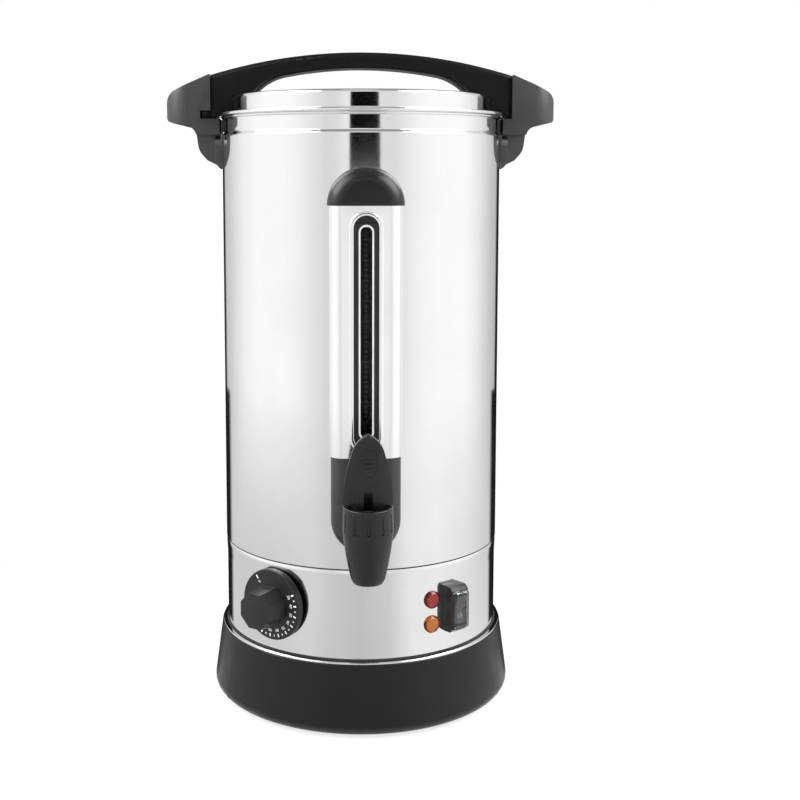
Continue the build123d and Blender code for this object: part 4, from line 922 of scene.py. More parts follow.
@dataclass
class Tank(SubAssembly):
    """Drawn drum with its joggled neck, rolled mouth and pressed floor."""

    radius: float = 112.0
    neck: float = 110.5
    sheet: float = 0.8
    seam: float = 129.3
    shoulder: float = 456.5
    mouth: float = 471.5
    curl: float = 1.5
    floor: float = 147.0
    skirt_bore: float = 110.45
    skirt_drop: float = 12.3

    def build(self) -> None:
        """Turn the drum and its floor."""
        self.drum()
        self.bottom()

    def drum(self) -> None:
        """Wall, joggle, neck and curl as one closed section."""
        centre = (self.neck - self.sheet + self.curl, self.mouth - self.curl)
        dip = rolled_edge(self.curl, self.sheet)
        start = math.degrees(math.atan2(-dip, self.neck - centre[0]))
        outer = rounded([(self.radius, self.seam, 0), (self.radius, self.shoulder - 1, 2.5),
                         (self.neck, self.shoulder + 1.5, 2.5), (self.neck, centre[1] - dip, 0)],
                        closed=False)
        roll = circle_points(centre, self.curl, start, 180, 22)[1:]
        inner = rounded([(self.neck - self.sheet, centre[1], 0),
                         (self.neck - self.sheet, self.shoulder + 1.3, 1.7),
                         (self.radius - self.sheet, self.shoulder - 1.2, 3.3),
                         (self.radius - self.sheet, self.seam, 0)], closed=False)
        self.place(lathe("tank_wall", outer + roll + inner[1:]), Finishes.polished_steel,
                   "tank_shell")

    def bottom(self) -> None:
        """Floor of the tank, with its skirt inside the seam."""
        bore = self.radius - self.sheet - 0.05
        low, fold = self.seam - self.skirt_drop, self.seam - 0.3
        face, wall = self.floor - self.sheet, bore - self.sheet
        skirt = self.skirt_bore - self.sheet
        outer = rounded([(self.skirt_bore, low, 0), (self.skirt_bore, fold - 1.5, 1.5),
                         (bore, fold + 1.5, 1.5), (bore, self.floor, 4), (0, self.floor, 0)],
                        closed=False)
        inner = rounded([(0, face, 0), (wall, face, 3.2), (wall, fold + 1.7, 1.5),
                         (skirt, fold - 1.3, 1.5), (skirt, low, 0)], closed=False)
        self.place(lathe("tank_floor", outer + inner), Finishes.plain_steel, "tank_bottom")


@dataclass
class ControlSkirt(SubAssembly):
    """Cylinder between the drum and the base, whose top leans out and turns in."""

    radius: float = 111.3
    sheet: float = 0.8
    low: float = 47.0
    seam: float = 129.0
    lean: float = 0.5
    lean_low: float = 14.0
    lean_round: float = 60.0
    shoulder: float = 4.0
    shoulder_steps: int = 18
    base_top: float = 56.0
    flange: float = 115.4

    def build(self) -> None:
        """Turn the foot's flange, its gasket, a black ring that paints the seam's shadow, and the
        wall.
        """
        rim, seam, hug = self.base_top, self.seam, self.radius + 0.02
        foot = [(hug, rim + 0.02, 0), (self.flange, rim + 0.02, 0.2),
                (self.flange, rim + 1.2, 0.5), (self.radius + 0.9, rim + 1.5, 0.3),
                (hug, rim + 1.5, 0)]
        gasket = [(hug, rim + 1.52, 0), (self.radius + 1.2, rim + 1.52, 0.3),
                  (self.radius + 0.7, rim + 2.8, 0.3), (hug, rim + 3.0, 0)]
        # The black ring in the seam is painted shade: a dark band where the seam's shadow falls.
        seam_shade = [(self.radius - 0.75, seam - 0.28, 0), (self.radius + 0.6, seam - 0.7, 0.1),
                 (self.radius + 0.6, seam + 0.27, 0.1), (self.radius - 0.75, seam + 0.27, 0)]
        for name, corners, finish in (("skirt_foot", foot, Finishes.polished_steel),
                                      ("skirt_gasket", gasket, Finishes.black_rubber),
                                      ("seam_shade_ring", seam_shade, Finishes.black_rubber)):
            self.place(lathe(name, rounded(corners)), finish)
        self.wall()

    def wall(self) -> None:
        """Wall of the skirt, with its shoulder as a quarter of an ellipse."""
        bore, crown = self.radius - self.sheet, self.radius + self.lean
        turn_in = self.seam - 0.3 - self.shoulder
        outline = rounded([(bore, self.low, 0), (self.radius, self.low, 0),
                           (self.radius, self.seam - self.lean_low, self.lean_round),
                           (crown, turn_in, 0)], closed=False, step=1)
        for step in range(1, self.shoulder_steps + 1):
            angle = math.radians(90.0 / self.shoulder_steps * step)
            outline.append((bore + (crown - bore) * math.cos(angle),
                            turn_in + self.shoulder * math.sin(angle)))
        self.place(lathe("skirt_wall", outline), Finishes.polished_steel, "control_skirt")


class Base(SubAssembly):
    """Black flared base with its plate, screws and rubber feet."""

    def build(self) -> None:
        """Round the base's edges and finish what lies under it."""
        self.mould("base_skirt", "base_ring", Finishes.base_plastic_painted_shade, edge=0.35)
        self.dress_nodes(Finishes.plain_steel, "base_plate")
        self.dress_nodes(Finishes.zinc_screw, "base_screws")
        self.dress_nodes(Finishes.black_rubber, "feet")


class HeaterParts(SubAssembly):
    """What hangs under the tank's floor and behind the skirt, out of sight."""

    def build(self) -> None:
        """Finish the heater, cut-out and bulb, and the controls' inner parts."""
        self.dress_nodes(Finishes.heater_aluminium, "heater_plate")
        self.dress_nodes(Finishes.element_sheath, "heating_element")
        self.dress_nodes(Finishes.bulb_copper, "capillary_bulb")
        self.dress_nodes(Finishes.bakelite, "thermal_cutout", "thermostat_body")
        self.dress_nodes(Finishes.black_plastic, "reset_button", "lamp_bodies")
        self.dress_nodes(Finishes.zinc_screw, "thermostat_screws")
        self.dress_nodes(Finishes.plain_steel, "thermostat_shaft")


@dataclass
class Lid(SubAssembly):
    """Stepped pan with a curled flange, its seal and its arched bar."""

    body: str = "lid"
    flange: float = 116.0
    step: float = 104.0
    sheet: float = 0.8
    flange_z: float = 472.7
    top_z: float = 487.5
    curl: float = 1.5
    seal_radius: float = 112.0
    seal_bore: float = 105.5
    lip: float = 109.4
    lip_wall: float = 1.2

    def build(self) -> None:
        """Turn the pan and the seal and round the bar."""
        self.pan()
        self.seal()
        self.mould("lid_handle", "lid_bar", Finishes.bar_plastic_painted_shade, edge=0.6)
        self.dress_nodes(Finishes.zinc_screw, "lid_handle_screws")

    def pan(self) -> None:
        """Top, step, flange and curl as one closed section."""
        face, under = self.flange_z + self.sheet, self.top_z - self.sheet
        centre = (self.flange - self.curl, face - self.curl)
        rise = rolled_edge(self.curl, self.sheet)
        upper = rounded([(0, self.top_z, 0), (self.step, self.top_z, 3.0), (self.step, face, 1.2),
                         (centre[0], face, 0)], closed=False)
        end = math.degrees(math.atan2(self.curl - self.sheet, -rise))
        curl = circle_points(centre, self.curl, 90, end - 360, 24)[1:]
        lower = rounded([(centre[0] - rise, self.flange_z, 0),
                         (self.step - self.sheet, self.flange_z, 2.0),
                         (self.step - self.sheet, under, 2.2), (0, under, 0)], closed=False)
        self.place(lathe("lid_sheet", upper + curl + lower[1:]), Finishes.polished_steel,
                   "lid_pan")

    def seal(self) -> None:
        """Soft ring under the flange, with a lip inside the neck."""
        inside = self.lip - self.lip_wall
        outline = rounded([(self.seal_bore, self.flange_z, 0.3),
                           (self.seal_radius, self.flange_z, 0.3), (self.seal_radius, 471.6, 0.3),
                           (self.lip, 471.6, 0.2), (self.lip, 465.5, 0.5), (inside, 465.5, 0.5),
                           (inside, 470.5, 0.3), (self.seal_bore, 471.5, 0.3)])
        self.place(lathe("seal_ring", outline, segments=160), Finishes.seal_silicone, "lid_seal",
                   body="seal")


@dataclass
class SideHandles(SubAssembly):
    """Black handles that carry the ends of the lid's bar."""

    body_radius: float = 112.0
    neck_radius: float = 110.5
    pad_low: float = 459.0
    pad_high: float = 468.3
    pad_half: float = 9.5
    foot_low: float = 424.5
    foot_top: float = 436.0
    foot_rise: float = 0.4
    foot_taper: float = 0.85
    foot_cuts: int = 5
    screw_low: float = 431.0
    screw_reach: float = 113.9
    screw_slope: float = 1.8

    def build(self) -> None:
        """Round the handles and finish their fastenings."""
        for side in ("right", "left"):
            piece = moulded(f"side_handle_{side}", f"handle_{side}", edge=0.8)
            self.taper_foot(piece.data)
            self.place(piece, Finishes.grip_plastic_painted_light, f"side_handle_{side}")
        self.dress_nodes(Finishes.plain_steel, "handle_washers")
        self.screws()
        self.pads()

    def taper_foot(self, mesh: bpy.types.Mesh) -> None:
        """Draw the foot of a handle's web up, and in to the drum.

        Args:
            mesh: mesh of the handle.
        """
        work = bmesh.new()
        work.from_mesh(mesh)
        for cut in range(self.foot_cuts):
            height = self.foot_low + (self.foot_top - self.foot_low) * (cut + 1) / self.foot_cuts
            bmesh.ops.bisect_plane(work, geom=work.verts[:] + work.edges[:] + work.faces[:],
                                   plane_co=(0, 0, height * MM), plane_no=(0, 0, 1), dist=1e-6)
        for vert in work.verts:
            drop = self.foot_top - vert.co.z / MM
            depth = abs(vert.co.x) / MM - self.body_radius
            if drop <= 0:
                continue
            share = min(drop / (self.foot_top - self.foot_low), 1.0)
            if depth > 0:
                reach = self.body_radius + depth * (1 - self.foot_taper * share ** 1.5)
                vert.co.x = math.copysign(reach * MM, vert.co.x)
            vert.co.z += drop * self.foot_rise * MM
        work.to_mesh(mesh)
        work.free()

    def screws(self) -> None:
        """Handle screws, whose lower pair ends flush with the tapered foot."""
        piece = moulded("handle_screws", "handle_bolts")
        for vert in piece.data.vertices:
            limit = self.screw_reach + max(vert.co.z / MM - self.screw_low, 0.0) * self.screw_slope
            if abs(vert.co.x) / MM > limit:
                vert.co.x = math.copysign(limit * MM, vert.co.x)
        self.place(piece, Finishes.black_zinc, "handle_screws")

    def pads(self) -> None:
        """Thin pads that close the gap between the handles and the neck."""
        for name, middle in (("neck_pad_right", 0.0), ("neck_pad_left", 180.0)):
            low, high = middle - self.pad_half, middle + self.pad_half
            outline = (circle_points((0, 0), self.body_radius - 0.05, low, high, 16)
                       + circle_points((0, 0), self.neck_radius + 0.1, high, low, 16))
            self.place(prism(name, outline, self.pad_low, self.pad_high), Finishes.black_rubber)


@dataclass
class SightGauge(SubAssembly):
    """Steel channel with a slotted window, its caps, scale and glass."""

    half: float = 27.0
    front: float = 126.0
    crown: float = 1.6
    crown_steps: int = 60
    corner: float = 11.0
    sheet: float = 0.8
    low: float = 217.5
    high: float = 402.5
    window_width: float = 18.5
    window_height: float = 171.0
    frame_width: float = 3.2
    frame_proud: float = 0.5
    back: float = 109.2
    tube_slot: float = 10.4
    tube_slot_height: float = 157.0
    panel_front: float = 124.8
    strip_half: float = 4.9
    strip_back: float = -113.6
    strip_front: float = -113.0
    marks_depth: float = -113.65

    def __post_init__(self) -> None:
        """Note the middle of the window's height."""
        self.middle = (self.low + self.high) / 2

    def build(self) -> None:
        """Make the cover and the scale and round the mouldings."""
        self.cover()
        self.scale()
        self.mould("gauge_cap", "gauge_dome", Finishes.cap_plastic_painted_shade, edge=0.4)
        self.mould("gauge_housing", "gauge_foot", Finishes.foot_plastic_painted_light, edge=0.4)
        self.dress_nodes(Finishes.gloss_plastic, "scale_panel")
        self.dress_nodes(Finishes.tube_glass, "gauge_tube")
        self.dress_nodes(Finishes.seal_silicone, "tube_seals")
        self.dress_nodes(Finishes.zinc_screw, "cap_screw")

    def section(self, inset: float) -> list[Point]:
        """Front of the channel's section in plan, from left to right.

        Args:
            inset: how far inside the outer face, in millimetres.

        Returns:
            The points of the open section.
        """
        half, front, corner = self.half - inset, self.front - inset, self.corner - inset
        radius = (half**2 + self.crown**2) / (2 * self.crown)
        centre_y = -front + radius
        reach = half - corner
        spread = math.asin(reach / radius)
        start = Vector((-reach, centre_y - math.sqrt(radius**2 - reach**2)))
        blend = circle_points((-reach, start.y + corner), corner, 180,
                              270 - math.degrees(spread), 16)
        side = [(-half, -self.back), (-half, -self.back - 0.2), (-half, blend[0][1] + 0.3)]
        points = side + blend
        for step in range(1, self.crown_steps):
            angle = -spread + 2 * spread * step / self.crown_steps
            points.append((radius * math.sin(angle), centre_y - radius * math.cos(angle)))
        return points + [(-x, y) for x, y in reversed(side + blend)]

    def window(self, grow: float) -> list[Point]:
        """Outline of the cover's window, as (x, height), grown by a margin."""
        run = (self.window_height - self.window_width) / 2
        return capsule(self.middle, run, self.window_width / 2 + grow, 40)

    def tube_opening(self, grow: float) -> list[Point]:
        """Outline of the tube's slot, as (x, height), grown by a margin."""
        run = self.tube_slot_height / 2 - self.tube_slot / 2
        return capsule(self.middle, run, self.tube_slot / 2 + grow, 24)

    def cover(self) -> None:
        """Bend the channel, cut the window and raise its frame."""
        outline = self.section(0.0) + list(reversed(self.section(self.sheet)))
        piece = prism("gauge_channel", outline, self.low, self.high)
        cutter = prism("window_cutter", self.window(0.0), -self.front - 6, -self.front + 6,
                       UPRIGHT)
        cut = piece.modifiers.new("window", "BOOLEAN")
        cut.object, cut.operation, cut.solver = cutter, "DIFFERENCE", "EXACT"
        applied(piece)
        bpy.data.objects.remove(cutter)
        self.place(piece, Finishes.gauge_steel_painted_light, "gauge_cover")
        foot, top, width = 0.9 - self.front, -self.front - self.frame_proud, self.frame_width
        profile = [(0.0, foot), (0.0, top + 0.45), (0.12, top + 0.2), (0.4, top + 0.03),
                   (0.7, top), (1.75, top), (2.05, top + 0.04), (2.45, top + 0.2),
                   (2.9, top + 0.45), (width, top + 0.7), (width, foot)]
        self.place(loft("window_rim", profile, self.window), Finishes.gauge_steel_painted_light)

    def scale(self) -> None:
        """Lip round the tube's slot, and a marked strip behind the glass."""
        panel = -self.panel_front
        profile = [(-0.9, panel + 0.5), (-0.9, panel - 0.1), (-0.6, panel - 0.3),
                   (0.1, panel - 0.3), (0.4, panel - 0.1), (0.4, panel + 0.1),
                   (-0.05, panel + 0.1), (-0.05, panel + 0.5)]
        self.place(loft("slot_lip", profile, self.tube_opening), Finishes.lip_plastic)
        half, reach = self.strip_half, self.tube_slot_height / 2
        low, high = self.middle - reach + 2, self.middle + reach - 2
        outline = rounded([(-half, low, 1.5), (half, low, 1.5), (half, high, 1.5),
                           (-half, high, 1.5)])
        self.place(prism("level_strip", outline, self.strip_back, self.strip_front, UPRIGHT),
                   Finishes.gloss_plastic)
        rows = Repeater("marks_in_a_row")
        row = (Matrix.Translation((0, 0, self.middle)) @ UPRIGHT
               @ Matrix.Translation((0, 0, self.marks_depth)))
        for name, count, step, width in (("level_marks_long", 10, 15.0, 4.6),
                                         ("level_marks_short", 37, 3.75, 2.4)):
            marks = rows.make(name, row, Finishes.scale_grey, Count=count, Step=step,
                              Start=-step * (count - 1) / 2, Bar_Size=(width, 0.7, 0.12))
            self.place(marks, Finishes.scale_grey)


@dataclass
class Tap(SubAssembly):
    """Pull tap: body, grooved bonnet, valve and lever."""

    valve_travel: float = 3.3

    def build(self) -> None:
        """Round the mouldings and finish the metal parts."""
        self.spring()
        plastic = Finishes.black_plastic
        self.mould("tap_body", "tap_barrel", plastic, edge=0.4)
        self.mould("tap_bonnet", "tap_cup", plastic, edge=0.35, segments=2)
        self.mould("tap_lever", "tap_leaf", plastic, edge=0.5, body="lever")
        self.dress_nodes(Finishes.seal_silicone, "tap_seal")
        self.dress_nodes(Finishes.plain_steel, "tap_nut")
        self.dress_nodes(Finishes.black_rubber, "seat_cup")
        self.dress_nodes(Finishes.stem_steel, "valve_stem")

    def spring(self) -> None:
        """The coil as the lifted valve squeezes it, so that no pose cuts it."""
        coil = moulded("tap_spring", "valve_spring")
        heights = [vertex.co.z for vertex in coil.data.vertices]
        top, length = max(heights), max(heights) - min(heights)
        share = 1 - self.valve_travel * MM / length
        for vertex in coil.data.vertices:
            vertex.co.z = top + (vertex.co.z - top) * share
        self.place(coil, Finishes.spring_steel, "tap_spring")


@dataclass
class ThermostatKnob(SubAssembly):
    """Dial with a tapered eight-sided grip and its printed scale."""

    body: str = "knob"
    angle: float = -37.8
    height: float = 96.2
    front: float = 118.0
    tick_radius: float = 24.0
    figure_radius: float = 19.9
    figure_size: float = 3.3
    print_depth: float = 0.1
    first_mark: float = 62.0
    mark_step: float = 20.0
    off_mark: float = -34.0

    def build(self) -> None:
        """Round the knob and print its scale."""
        self.mould("thermostat_knob", "dial_knob", Finishes.dial_plastic, edge=0.5)
        face = face_matrix(self.angle, self.front, self.height)
        ring = Repeater("marks_round_a_dial", round_circle=True)
        step, start = math.radians(self.mark_step), math.radians(self.first_mark)
        off = math.radians(self.off_mark)
        for name, count, first, width, length in (("dial_marks_long", 9, start, 1.0, 2.6),
                                                  ("dial_marks_short", 8, start + step / 2,
                                                   0.7, 1.5),
                                                  ("dial_mark_off", 1, off, 1.1, 3.0)):
            marks = ring.make(name, face, Finishes.print_white, Count=count, Step=step,
                              Start=first, Radius=self.tick_radius,
                              Bar_Size=(width, length, self.print_depth))
            self.place(marks, Finishes.print_white)
        angles = {str(30 + 10 * index): self.first_mark + self.mark_step * index
                  for index in range(9)}
        angles["0"] = self.off_mark
        lift = Matrix.Translation((0, self.figure_radius, 0))
        numbers = [(text, face @ Matrix.Rotation(-math.radians(angle), 4, "Z") @ lift)
                   for text, angle in angles.items()]
        self.place(figures("dial_numbers", numbers, self.figure_size, self.print_depth),
                   Finishes.print_white)


@dataclass
class Lamps(SubAssembly):
    """Two domed lenses, red above amber."""

    angle: float = 27.5
    skirt: float = 111.3
    red_z: float = 100.8
    amber_z: float = 81.5
    radius: float = 6.8
    dome_share: float = 0.72
    flange: float = 1.2
    dome: float = 2.0
    stem: float = 4.8
    stem_back: float = -3.0
    seat: float = 0.35

    def build(self) -> None:
        """Turn both lenses."""
        top = self.flange + self.dome
        outline = rounded([(0, self.stem_back, 0), (self.stem, self.stem_back, 0.3),
                           (self.stem, self.seat, 0.2), (self.radius, self.seat, 0.2),
                           (self.radius, self.flange, 0.8),
                           (self.radius * self.dome_share, top - 0.3, 2.0), (0, top, 0)],
                          closed=False)
        for name, height, finish in (("lens_red", self.red_z, Finishes.red_lens),
                                     ("lens_amber", self.amber_z, Finishes.amber_lens)):
            piece = lathe(name, outline, closed=False, segments=96,
                          place=face_matrix(self.angle, self.skirt, height))
            self.place(piece, finish, finish.name)


@dataclass
class Switch(SubAssembly):
    """Rocker switch in its splash housing, under a clear boot."""

    angle: float = 37.2
    height: float = 92.4
    mark_drop: float = 5.5
    mark_size: float = 5.0
    mark_depth: float = 0.12
    probe_reach: float = 160.0
    probe_step: float = 3.0
    fallback: float = 118.0

    def key_surface(self, drop: float) -> float:
        """Distance of the rocker's face from the axis.

        Args:
            drop: how far below the switch's middle, in millimetres.

        Returns:
            The distance, in millimetres.
        """
        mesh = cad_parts["switch_rocker"].data
        tree = BVHTree.FromPolygons([v.co for v in mesh.vertices],
                                    [p.vertices for p in mesh.polygons])
        start = face_matrix(self.angle, self.probe_reach, self.height - drop).translation * MM
        spot, _, _, distance = tree.ray_cast(start, -outwards(self.angle), 0.1)
        return self.probe_reach - distance / MM if spot is not None else self.fallback

    def build(self) -> None:
        """Round the housing, rocker and boot, and print the rocker's mark."""
        self.mould("switch_housing", "switch_box", Finishes.gloss_plastic, edge=0.5)
        self.mould("switch_rocker", "switch_key", Finishes.rocker_plastic, edge=0.4,
                   body="rocker")
        near = self.key_surface(self.mark_drop)
        below = self.key_surface(self.mark_drop + self.probe_step)
        lean = math.atan2(near - below, self.probe_step)
        face = (face_matrix(self.angle, near + 0.02, self.height - self.mark_drop)
                @ Matrix.Rotation(lean, 4, "X"))
        mark = figures("switch_off_mark", [("O", face)], self.mark_size, self.mark_depth)
        self.place(mark, Finishes.print_white, slot="black_plastic", body="rocker")
        self.mould("switch_cover", "switch_boot", Finishes.clear_boot)


class PowerInlet(SubAssembly):
    """Appliance inlet at the back."""

    def build(self) -> None:
        """Round the inlet and finish its pins and screws."""
        self.mould("power_inlet", "inlet_shroud", Finishes.black_plastic, edge=0.3, segments=2)
        self.dress_nodes(Finishes.pin_brass, "inlet_pins")
        self.dress_nodes(Finishes.zinc_screw, "inlet_screws")


# --------------------------------------------------------------- studio ----
@dataclass
class Studio:
    """Light tent, floor, world and camera, in metres."""

    tent_radius: float = 1.5
    tent_low: float = -0.02
    tent_height: float = 1.5
    tent_flag: Point = (153.0, 159.0)
    floor_flag: Point = (142.0, 149.0)
    card_radius: float = 1.42
    card_angles: Point = (-8.6, 14.6)
    card_heights: Point = (0.408, 1.0)
    ring_level: float = 0.35
    lamp_bearing: float = 74.0
    lamp_spot: Point = (1.25, 1.2)
    lamp_aim: float = 0.3
    lamp_size: float = 1.2
    lamp_energy: float = 32.0
    floor_radius: float = 6.0
    azimuth: float = -1.8
    distance: float = 1.035
    eye: float = 0.426
    tilt: float = 6.286
    focal_px: float = 1262.42
    picture_px: float = 800.0
    sensor: float = 36.0
    shift: Point = (0.04875, -0.11)
    left_levels: tuple[Point, ...] = (
        (0, 0.90), (12, 0.93), (20, 0.80), (28, 0.79), (35, 0.87), (49, 1.01), (63, 1.09),
        (90, 1.11), (97, 1.07), (108, 1.0), (121, 0.84), (132, 0.71), (145, 0.62), (170, 0.55))
    right_levels: tuple[Point, ...] = (
        (12, 0.93), (20, 0.82), (28, 0.84), (35, 0.93), (49, 1.06), (63, 1.10), (90, 1.12),
        (97, 1.06), (108, 0.95), (121, 0.76), (132, 0.63), (145, 0.55), (170, 0.48))
    left_floor: tuple[Point, ...] = (
        (0, 0.60), (20, 0.66), (35, 0.75), (60, 0.72), (90, 0.69), (120, 0.69), (145, 0.60))
    right_floor: tuple[Point, ...] = (
        (20, 0.70), (35, 0.93), (60, 0.97), (90, 0.85), (120, 0.70), (145, 0.60))
    full_level: float = 1.2
    flag_start: float = 0.108
    flag_ahead: float = 0.027
    flag_wider: float = 6.0
    flag_dark: float = 0.02
    stripe_lean: float = 0.1
    stripe_edge: Point = (0.075, 0.09)
    stripe_light: float = 0.9
    floor_blend: Point = (0.45, 1.5)
    floor_white: float = 0.93
    floor_fade: Point = (0.14, 0.5)
    floor_glow: float = 0.75
    floor_steps: int = 128

    def build(self) -> None:
        """Set the world, the tent, the cards, the lamps, the floor and the camera."""
        bpy.context.scene.view_settings.view_transform = "Standard"
        self.world()
        tent = self.wall("light_tent", self.tent_radius, (-180, 180),
                         (self.tent_low, self.tent_height), 180)
        self.by_direction(tent, "tent_light", self.tent_flag)
        card = self.wall("front_card", self.card_radius, self.card_angles, self.card_heights, 24)
        card.visible_diffuse = card.visible_transmission = False
        self.glowing(card, "front_card_dark", 0.0)
        self.glowing(self.ring("ceiling_card", 0.25, 2.0), "ceiling_card_light", self.ring_level)
        self.by_direction(self.ring("floor_card", 0.13, 0.001), "floor_card_light",
                          self.floor_flag, floor=True)
        self.side_lamps()
        self.ground()
        self.camera()

    def world(self) -> None:
        """Plain white surroundings."""
        world = bpy.data.worlds.new("studio_white")
        world.use_nodes = True
        background = world.node_tree.nodes["Background"]
        background.inputs["Color"].default_value = (1, 1, 1, 1)
        background.inputs["Strength"].default_value = 1.0
        bpy.context.scene.world = world

    @staticmethod
    def staged(name: str, vertices: Sequence[Corner], faces: Sequence[Sequence[int]],
               *unseen: str) -> bpy.types.Object:
        """Make a stage piece.

        Args:
            name: name of the piece.
            vertices: places in metres.
            faces: vertex numbers of each face.
            *unseen: what it is hidden from.

        Returns:
            The piece.
        """
        mesh = bpy.data.meshes.new(name)
        mesh.from_pydata(vertices, [], faces)
        piece = added(name, mesh)
        for sight in unseen:
            setattr(piece, "visible_" + sight, False)
        return piece

    @staticmethod
    def material(piece: bpy.types.Object, name: str) -> NodePen:
        """Give a piece a new empty material.

        Args:
            piece: the piece.
            name: name of the material.

        Returns:
            The pen of the material's tree.
        """
        material = bpy.data.materials.new(name)
        material.use_nodes = True
        material.node_tree.nodes.clear()
        dress(piece, material)
        return NodePen(material.node_tree)

    def glowing(self, piece: bpy.types.Object, name: str, level: float) -> None:
        """Give a card a plain glow.

        Args:
            piece: the card.
            name: name of its material.
            level: strength of the glow.
        """
        pen = self.material(piece, name)
        glow = pen.add("ShaderNodeEmission", Strength=level)
        pen.add("ShaderNodeOutputMaterial", Surface=glow.outputs[0])

    def wall(self, name: str, radius: float, angles: Point, heights: Point,
             steps: int) -> bpy.types.Object:
        """An upright curved wall round the urn.

        Args:
            name: name of the wall.
            radius: its distance from the axis.
            angles: where it starts and ends, in degrees from the front.
            heights: its lower and upper edge.
            steps: its faces.

        Returns:
            The wall.
        """
        start, end = angles
        vertices = []
        for step in range(steps + 1):
            turn = math.radians(self.azimuth + start + (end - start) * step / steps)
            x, y = radius * math.sin(turn), -radius * math.cos(turn)
            vertices += [(x, y, height) for height in heights]
        faces = [(2 * step, 2 * step + 1, 2 * step + 3, 2 * step + 2) for step in range(steps)]
        return self.staged(name, vertices, faces, "camera", "shadow")

    def ring(self, name: str, bore: float, height: float, steps: int = 96) -> bpy.types.Object:
        """A flat ring that only the polished metal mirrors.

        Args:
            name: name of the ring.
            bore: its inner radius.
            height: its level.
            steps: its faces.

        Returns:
            The ring.
        """
        turns = [FULL_TURN * k / steps for k in range(steps)]
        vertices = [(r * math.cos(turn), r * math.sin(turn), height)
                    for r in (bore, self.tent_radius) for turn in turns]
        faces = [(k, (k + 1) % steps, steps + (k + 1) % steps, steps + k) for k in range(steps)]
        return self.staged(name, vertices, faces, "camera", "diffuse", "shadow", "transmission")

    def direction_ramp(self, pen: NodePen, turn: bpy.types.NodeSocket, left: Sequence[Point],
                       right: Sequence[Point]) -> bpy.types.NodeSocket:
        """Turn a direction into a level.

        Args:
            pen: pen of the card's material.
            turn: the direction, in radians.
            left: (degrees from the front, level) towards -X.
            right: the same towards +X, without the front.

        Returns:
            The level, as a share of the full level.
        """
        ramp = pen.add("ShaderNodeValToRGB", Fac=pen.range(turn, -math.pi, math.pi))
        stops = [(self.azimuth - angle, level) for angle, level in left]
        stops += [(self.azimuth + angle, level) for angle, level in right]
        elements = ramp.color_ramp.elements
        while len(elements) > 1:
            elements.remove(elements[-1])
        for index, (angle, level) in enumerate(sorted(stops)):
            stop = elements.new(0.5 + angle / 360.0) if index else elements[0]
            stop.position = 0.5 + angle / 360.0
            stop.color = (*shade(level / self.full_level), 1)
        return ramp.outputs["Color"]

    def by_direction(self, piece: bpy.types.Object, name: str, flag: Point,
                     floor: bool = False) -> None:
        """Give a card a glow that changes with the direction from the urn's axis.

        Args:
            piece: the card.
            name: name of its material.
            flag: degrees from the front where the dark flag behind the urn
                starts and is whole, seen from the urn's side.
            floor: whether the card lies on the floor, where the levels pass
                from the floor's own to the wall's.
        """
        pen = self.material(piece, name)
        place = pen.place()
        split = pen.add("ShaderNodeSeparateXYZ", Vector=place)
        x, y = split.outputs["X"], split.outputs["Y"]
        turn = pen.calc("ARCTAN2", x, pen.calc("MULTIPLY", y, -1.0))
        colour = self.direction_ramp(pen, turn, self.left_levels, self.right_levels)
        if floor:
            near = self.direction_ramp(pen, turn, self.left_floor, self.right_floor)
            colour = pen.mix(pen.range(pen.length(place), *self.floor_blend), near, colour)
        side = pen.calc("SUBTRACT", pen.calc("ABSOLUTE", x), self.flag_start)
        ahead = pen.calc("SUBTRACT", pen.calc("MULTIPLY", y, -1.0), self.flag_ahead)
        bearing = pen.calc("ABSOLUTE", pen.calc("ARCTAN2", side, ahead))
        wider = pen.calc("MULTIPLY", pen.calc("GREATER_THAN", x, 0.0),
                         math.radians(self.flag_wider))
        start, whole = (math.radians(angle) for angle in flag)
        flagged = pen.range(pen.calc("ADD", bearing, wider), start, whole, 1.0, self.flag_dark)
        width = pen.calc("SUBTRACT", pen.calc("ABSOLUTE", x),
                         pen.calc("MULTIPLY", y, self.stripe_lean))
        stripe = pen.range(width, *self.stripe_edge, self.stripe_light, 0.0)
        behind = pen.calc("MULTIPLY", stripe, pen.calc("GREATER_THAN", y, 0.0))
        lit = pen.mix(1.0, colour, pen.calc("MAXIMUM", flagged, behind), "MULTIPLY")
        glow = pen.add("ShaderNodeEmission", Strength=self.full_level, Color=lit)
        pen.add("ShaderNodeOutputMaterial", Surface=glow.outputs[0])

    def side_lamps(self) -> None:
        """Two soft lamps, high at the sides."""
        reach, height = self.lamp_spot
        for name, side in (("lamp_left", -self.lamp_bearing), ("lamp_right", self.lamp_bearing)):
            lamp = bpy.data.lights.new(name, "AREA")
            lamp.size, lamp.energy = self.lamp_size, self.lamp_energy
            holder = added(name, lamp)
            turn = math.radians(self.azimuth + side)
            spot = Vector((reach * math.sin(turn), -reach * math.cos(turn), height))
            holder.location = spot
            aim = Vector((0, 0, self.lamp_aim)) - spot
            holder.rotation_euler = aim.to_track_quat("-Z", "Y").to_euler()
            holder.visible_camera = False

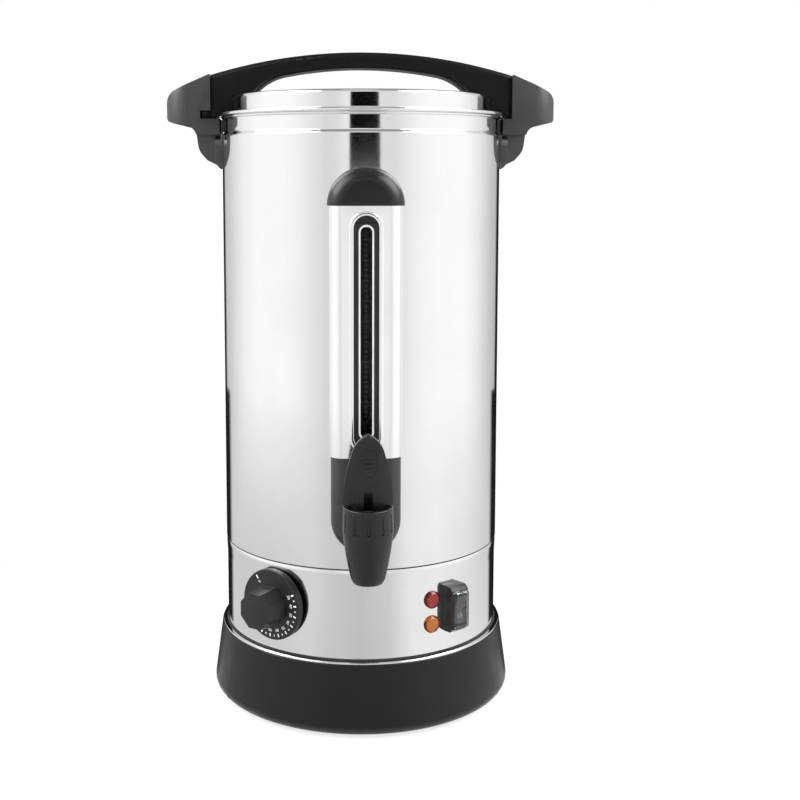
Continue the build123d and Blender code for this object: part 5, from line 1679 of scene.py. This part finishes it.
    def ground(self) -> None:
        """Pale floor that keeps the urn's shadow and fades into the white."""
        turns = [FULL_TURN * k / self.floor_steps for k in range(self.floor_steps)]
        vertices = [(self.floor_radius * math.cos(turn), self.floor_radius * math.sin(turn), 0.0)
                    for turn in turns]
        floor = self.staged("pale_floor", vertices, [tuple(range(len(turns)))])
        pen = self.material(floor, "floor_white")
        matte = pen.add("ShaderNodeBsdfDiffuse", Color=(*shade(self.floor_white), 1))
        glow = pen.add("ShaderNodeEmission", Strength=1.0)
        sight = pen.add("ShaderNodeLightPath").outputs
        fade = pen.range(pen.length(pen.place()), *self.floor_fade, self.floor_glow, 1.0)
        mirrored = pen.calc("MAXIMUM", sight["Is Camera Ray"], sight["Is Glossy Ray"])
        every = pen.calc("MAXIMUM", mirrored, sight["Is Transmission Ray"])
        mix = pen.add("ShaderNodeMixShader")
        for slot, value in enumerate((pen.calc("MULTIPLY", fade, every), matte.outputs[0],
                                      glow.outputs[0])):
            pen.feed(mix, slot, value)
        pen.add("ShaderNodeOutputMaterial", Surface=mix.outputs[0])

    def camera(self) -> None:
        """Camera at the viewing angle, a little above the middle."""
        lens = bpy.data.cameras.new("view")
        lens.sensor_width = self.sensor
        lens.lens = self.focal_px / self.picture_px * self.sensor
        lens.shift_x, lens.shift_y = self.shift
        lens.clip_start, lens.clip_end = 0.05, 50.0
        camera = added("view", lens)
        turn = math.radians(self.azimuth)
        camera.location = (self.distance * math.sin(turn), -self.distance * math.cos(turn),
                           self.eye)
        camera.rotation_euler = (math.radians(90 - self.tilt), 0, turn)
        bpy.context.scene.camera = camera


# ----------------------------------------------------------------- main ----
def main() -> None:
    """Build the studio and every sub-assembly."""
    logging.basicConfig(level=logging.INFO, format="%(name)s %(message)s")
    Studio().build()
    for group in (Tank(), ControlSkirt(), Base(), HeaterParts(), Lid(), SideHandles(),
                  SightGauge(), Tap(), ThermostatKnob(), Lamps(), Switch(), PowerInlet()):
        group.build()


if __name__ == "__main__":
    main()
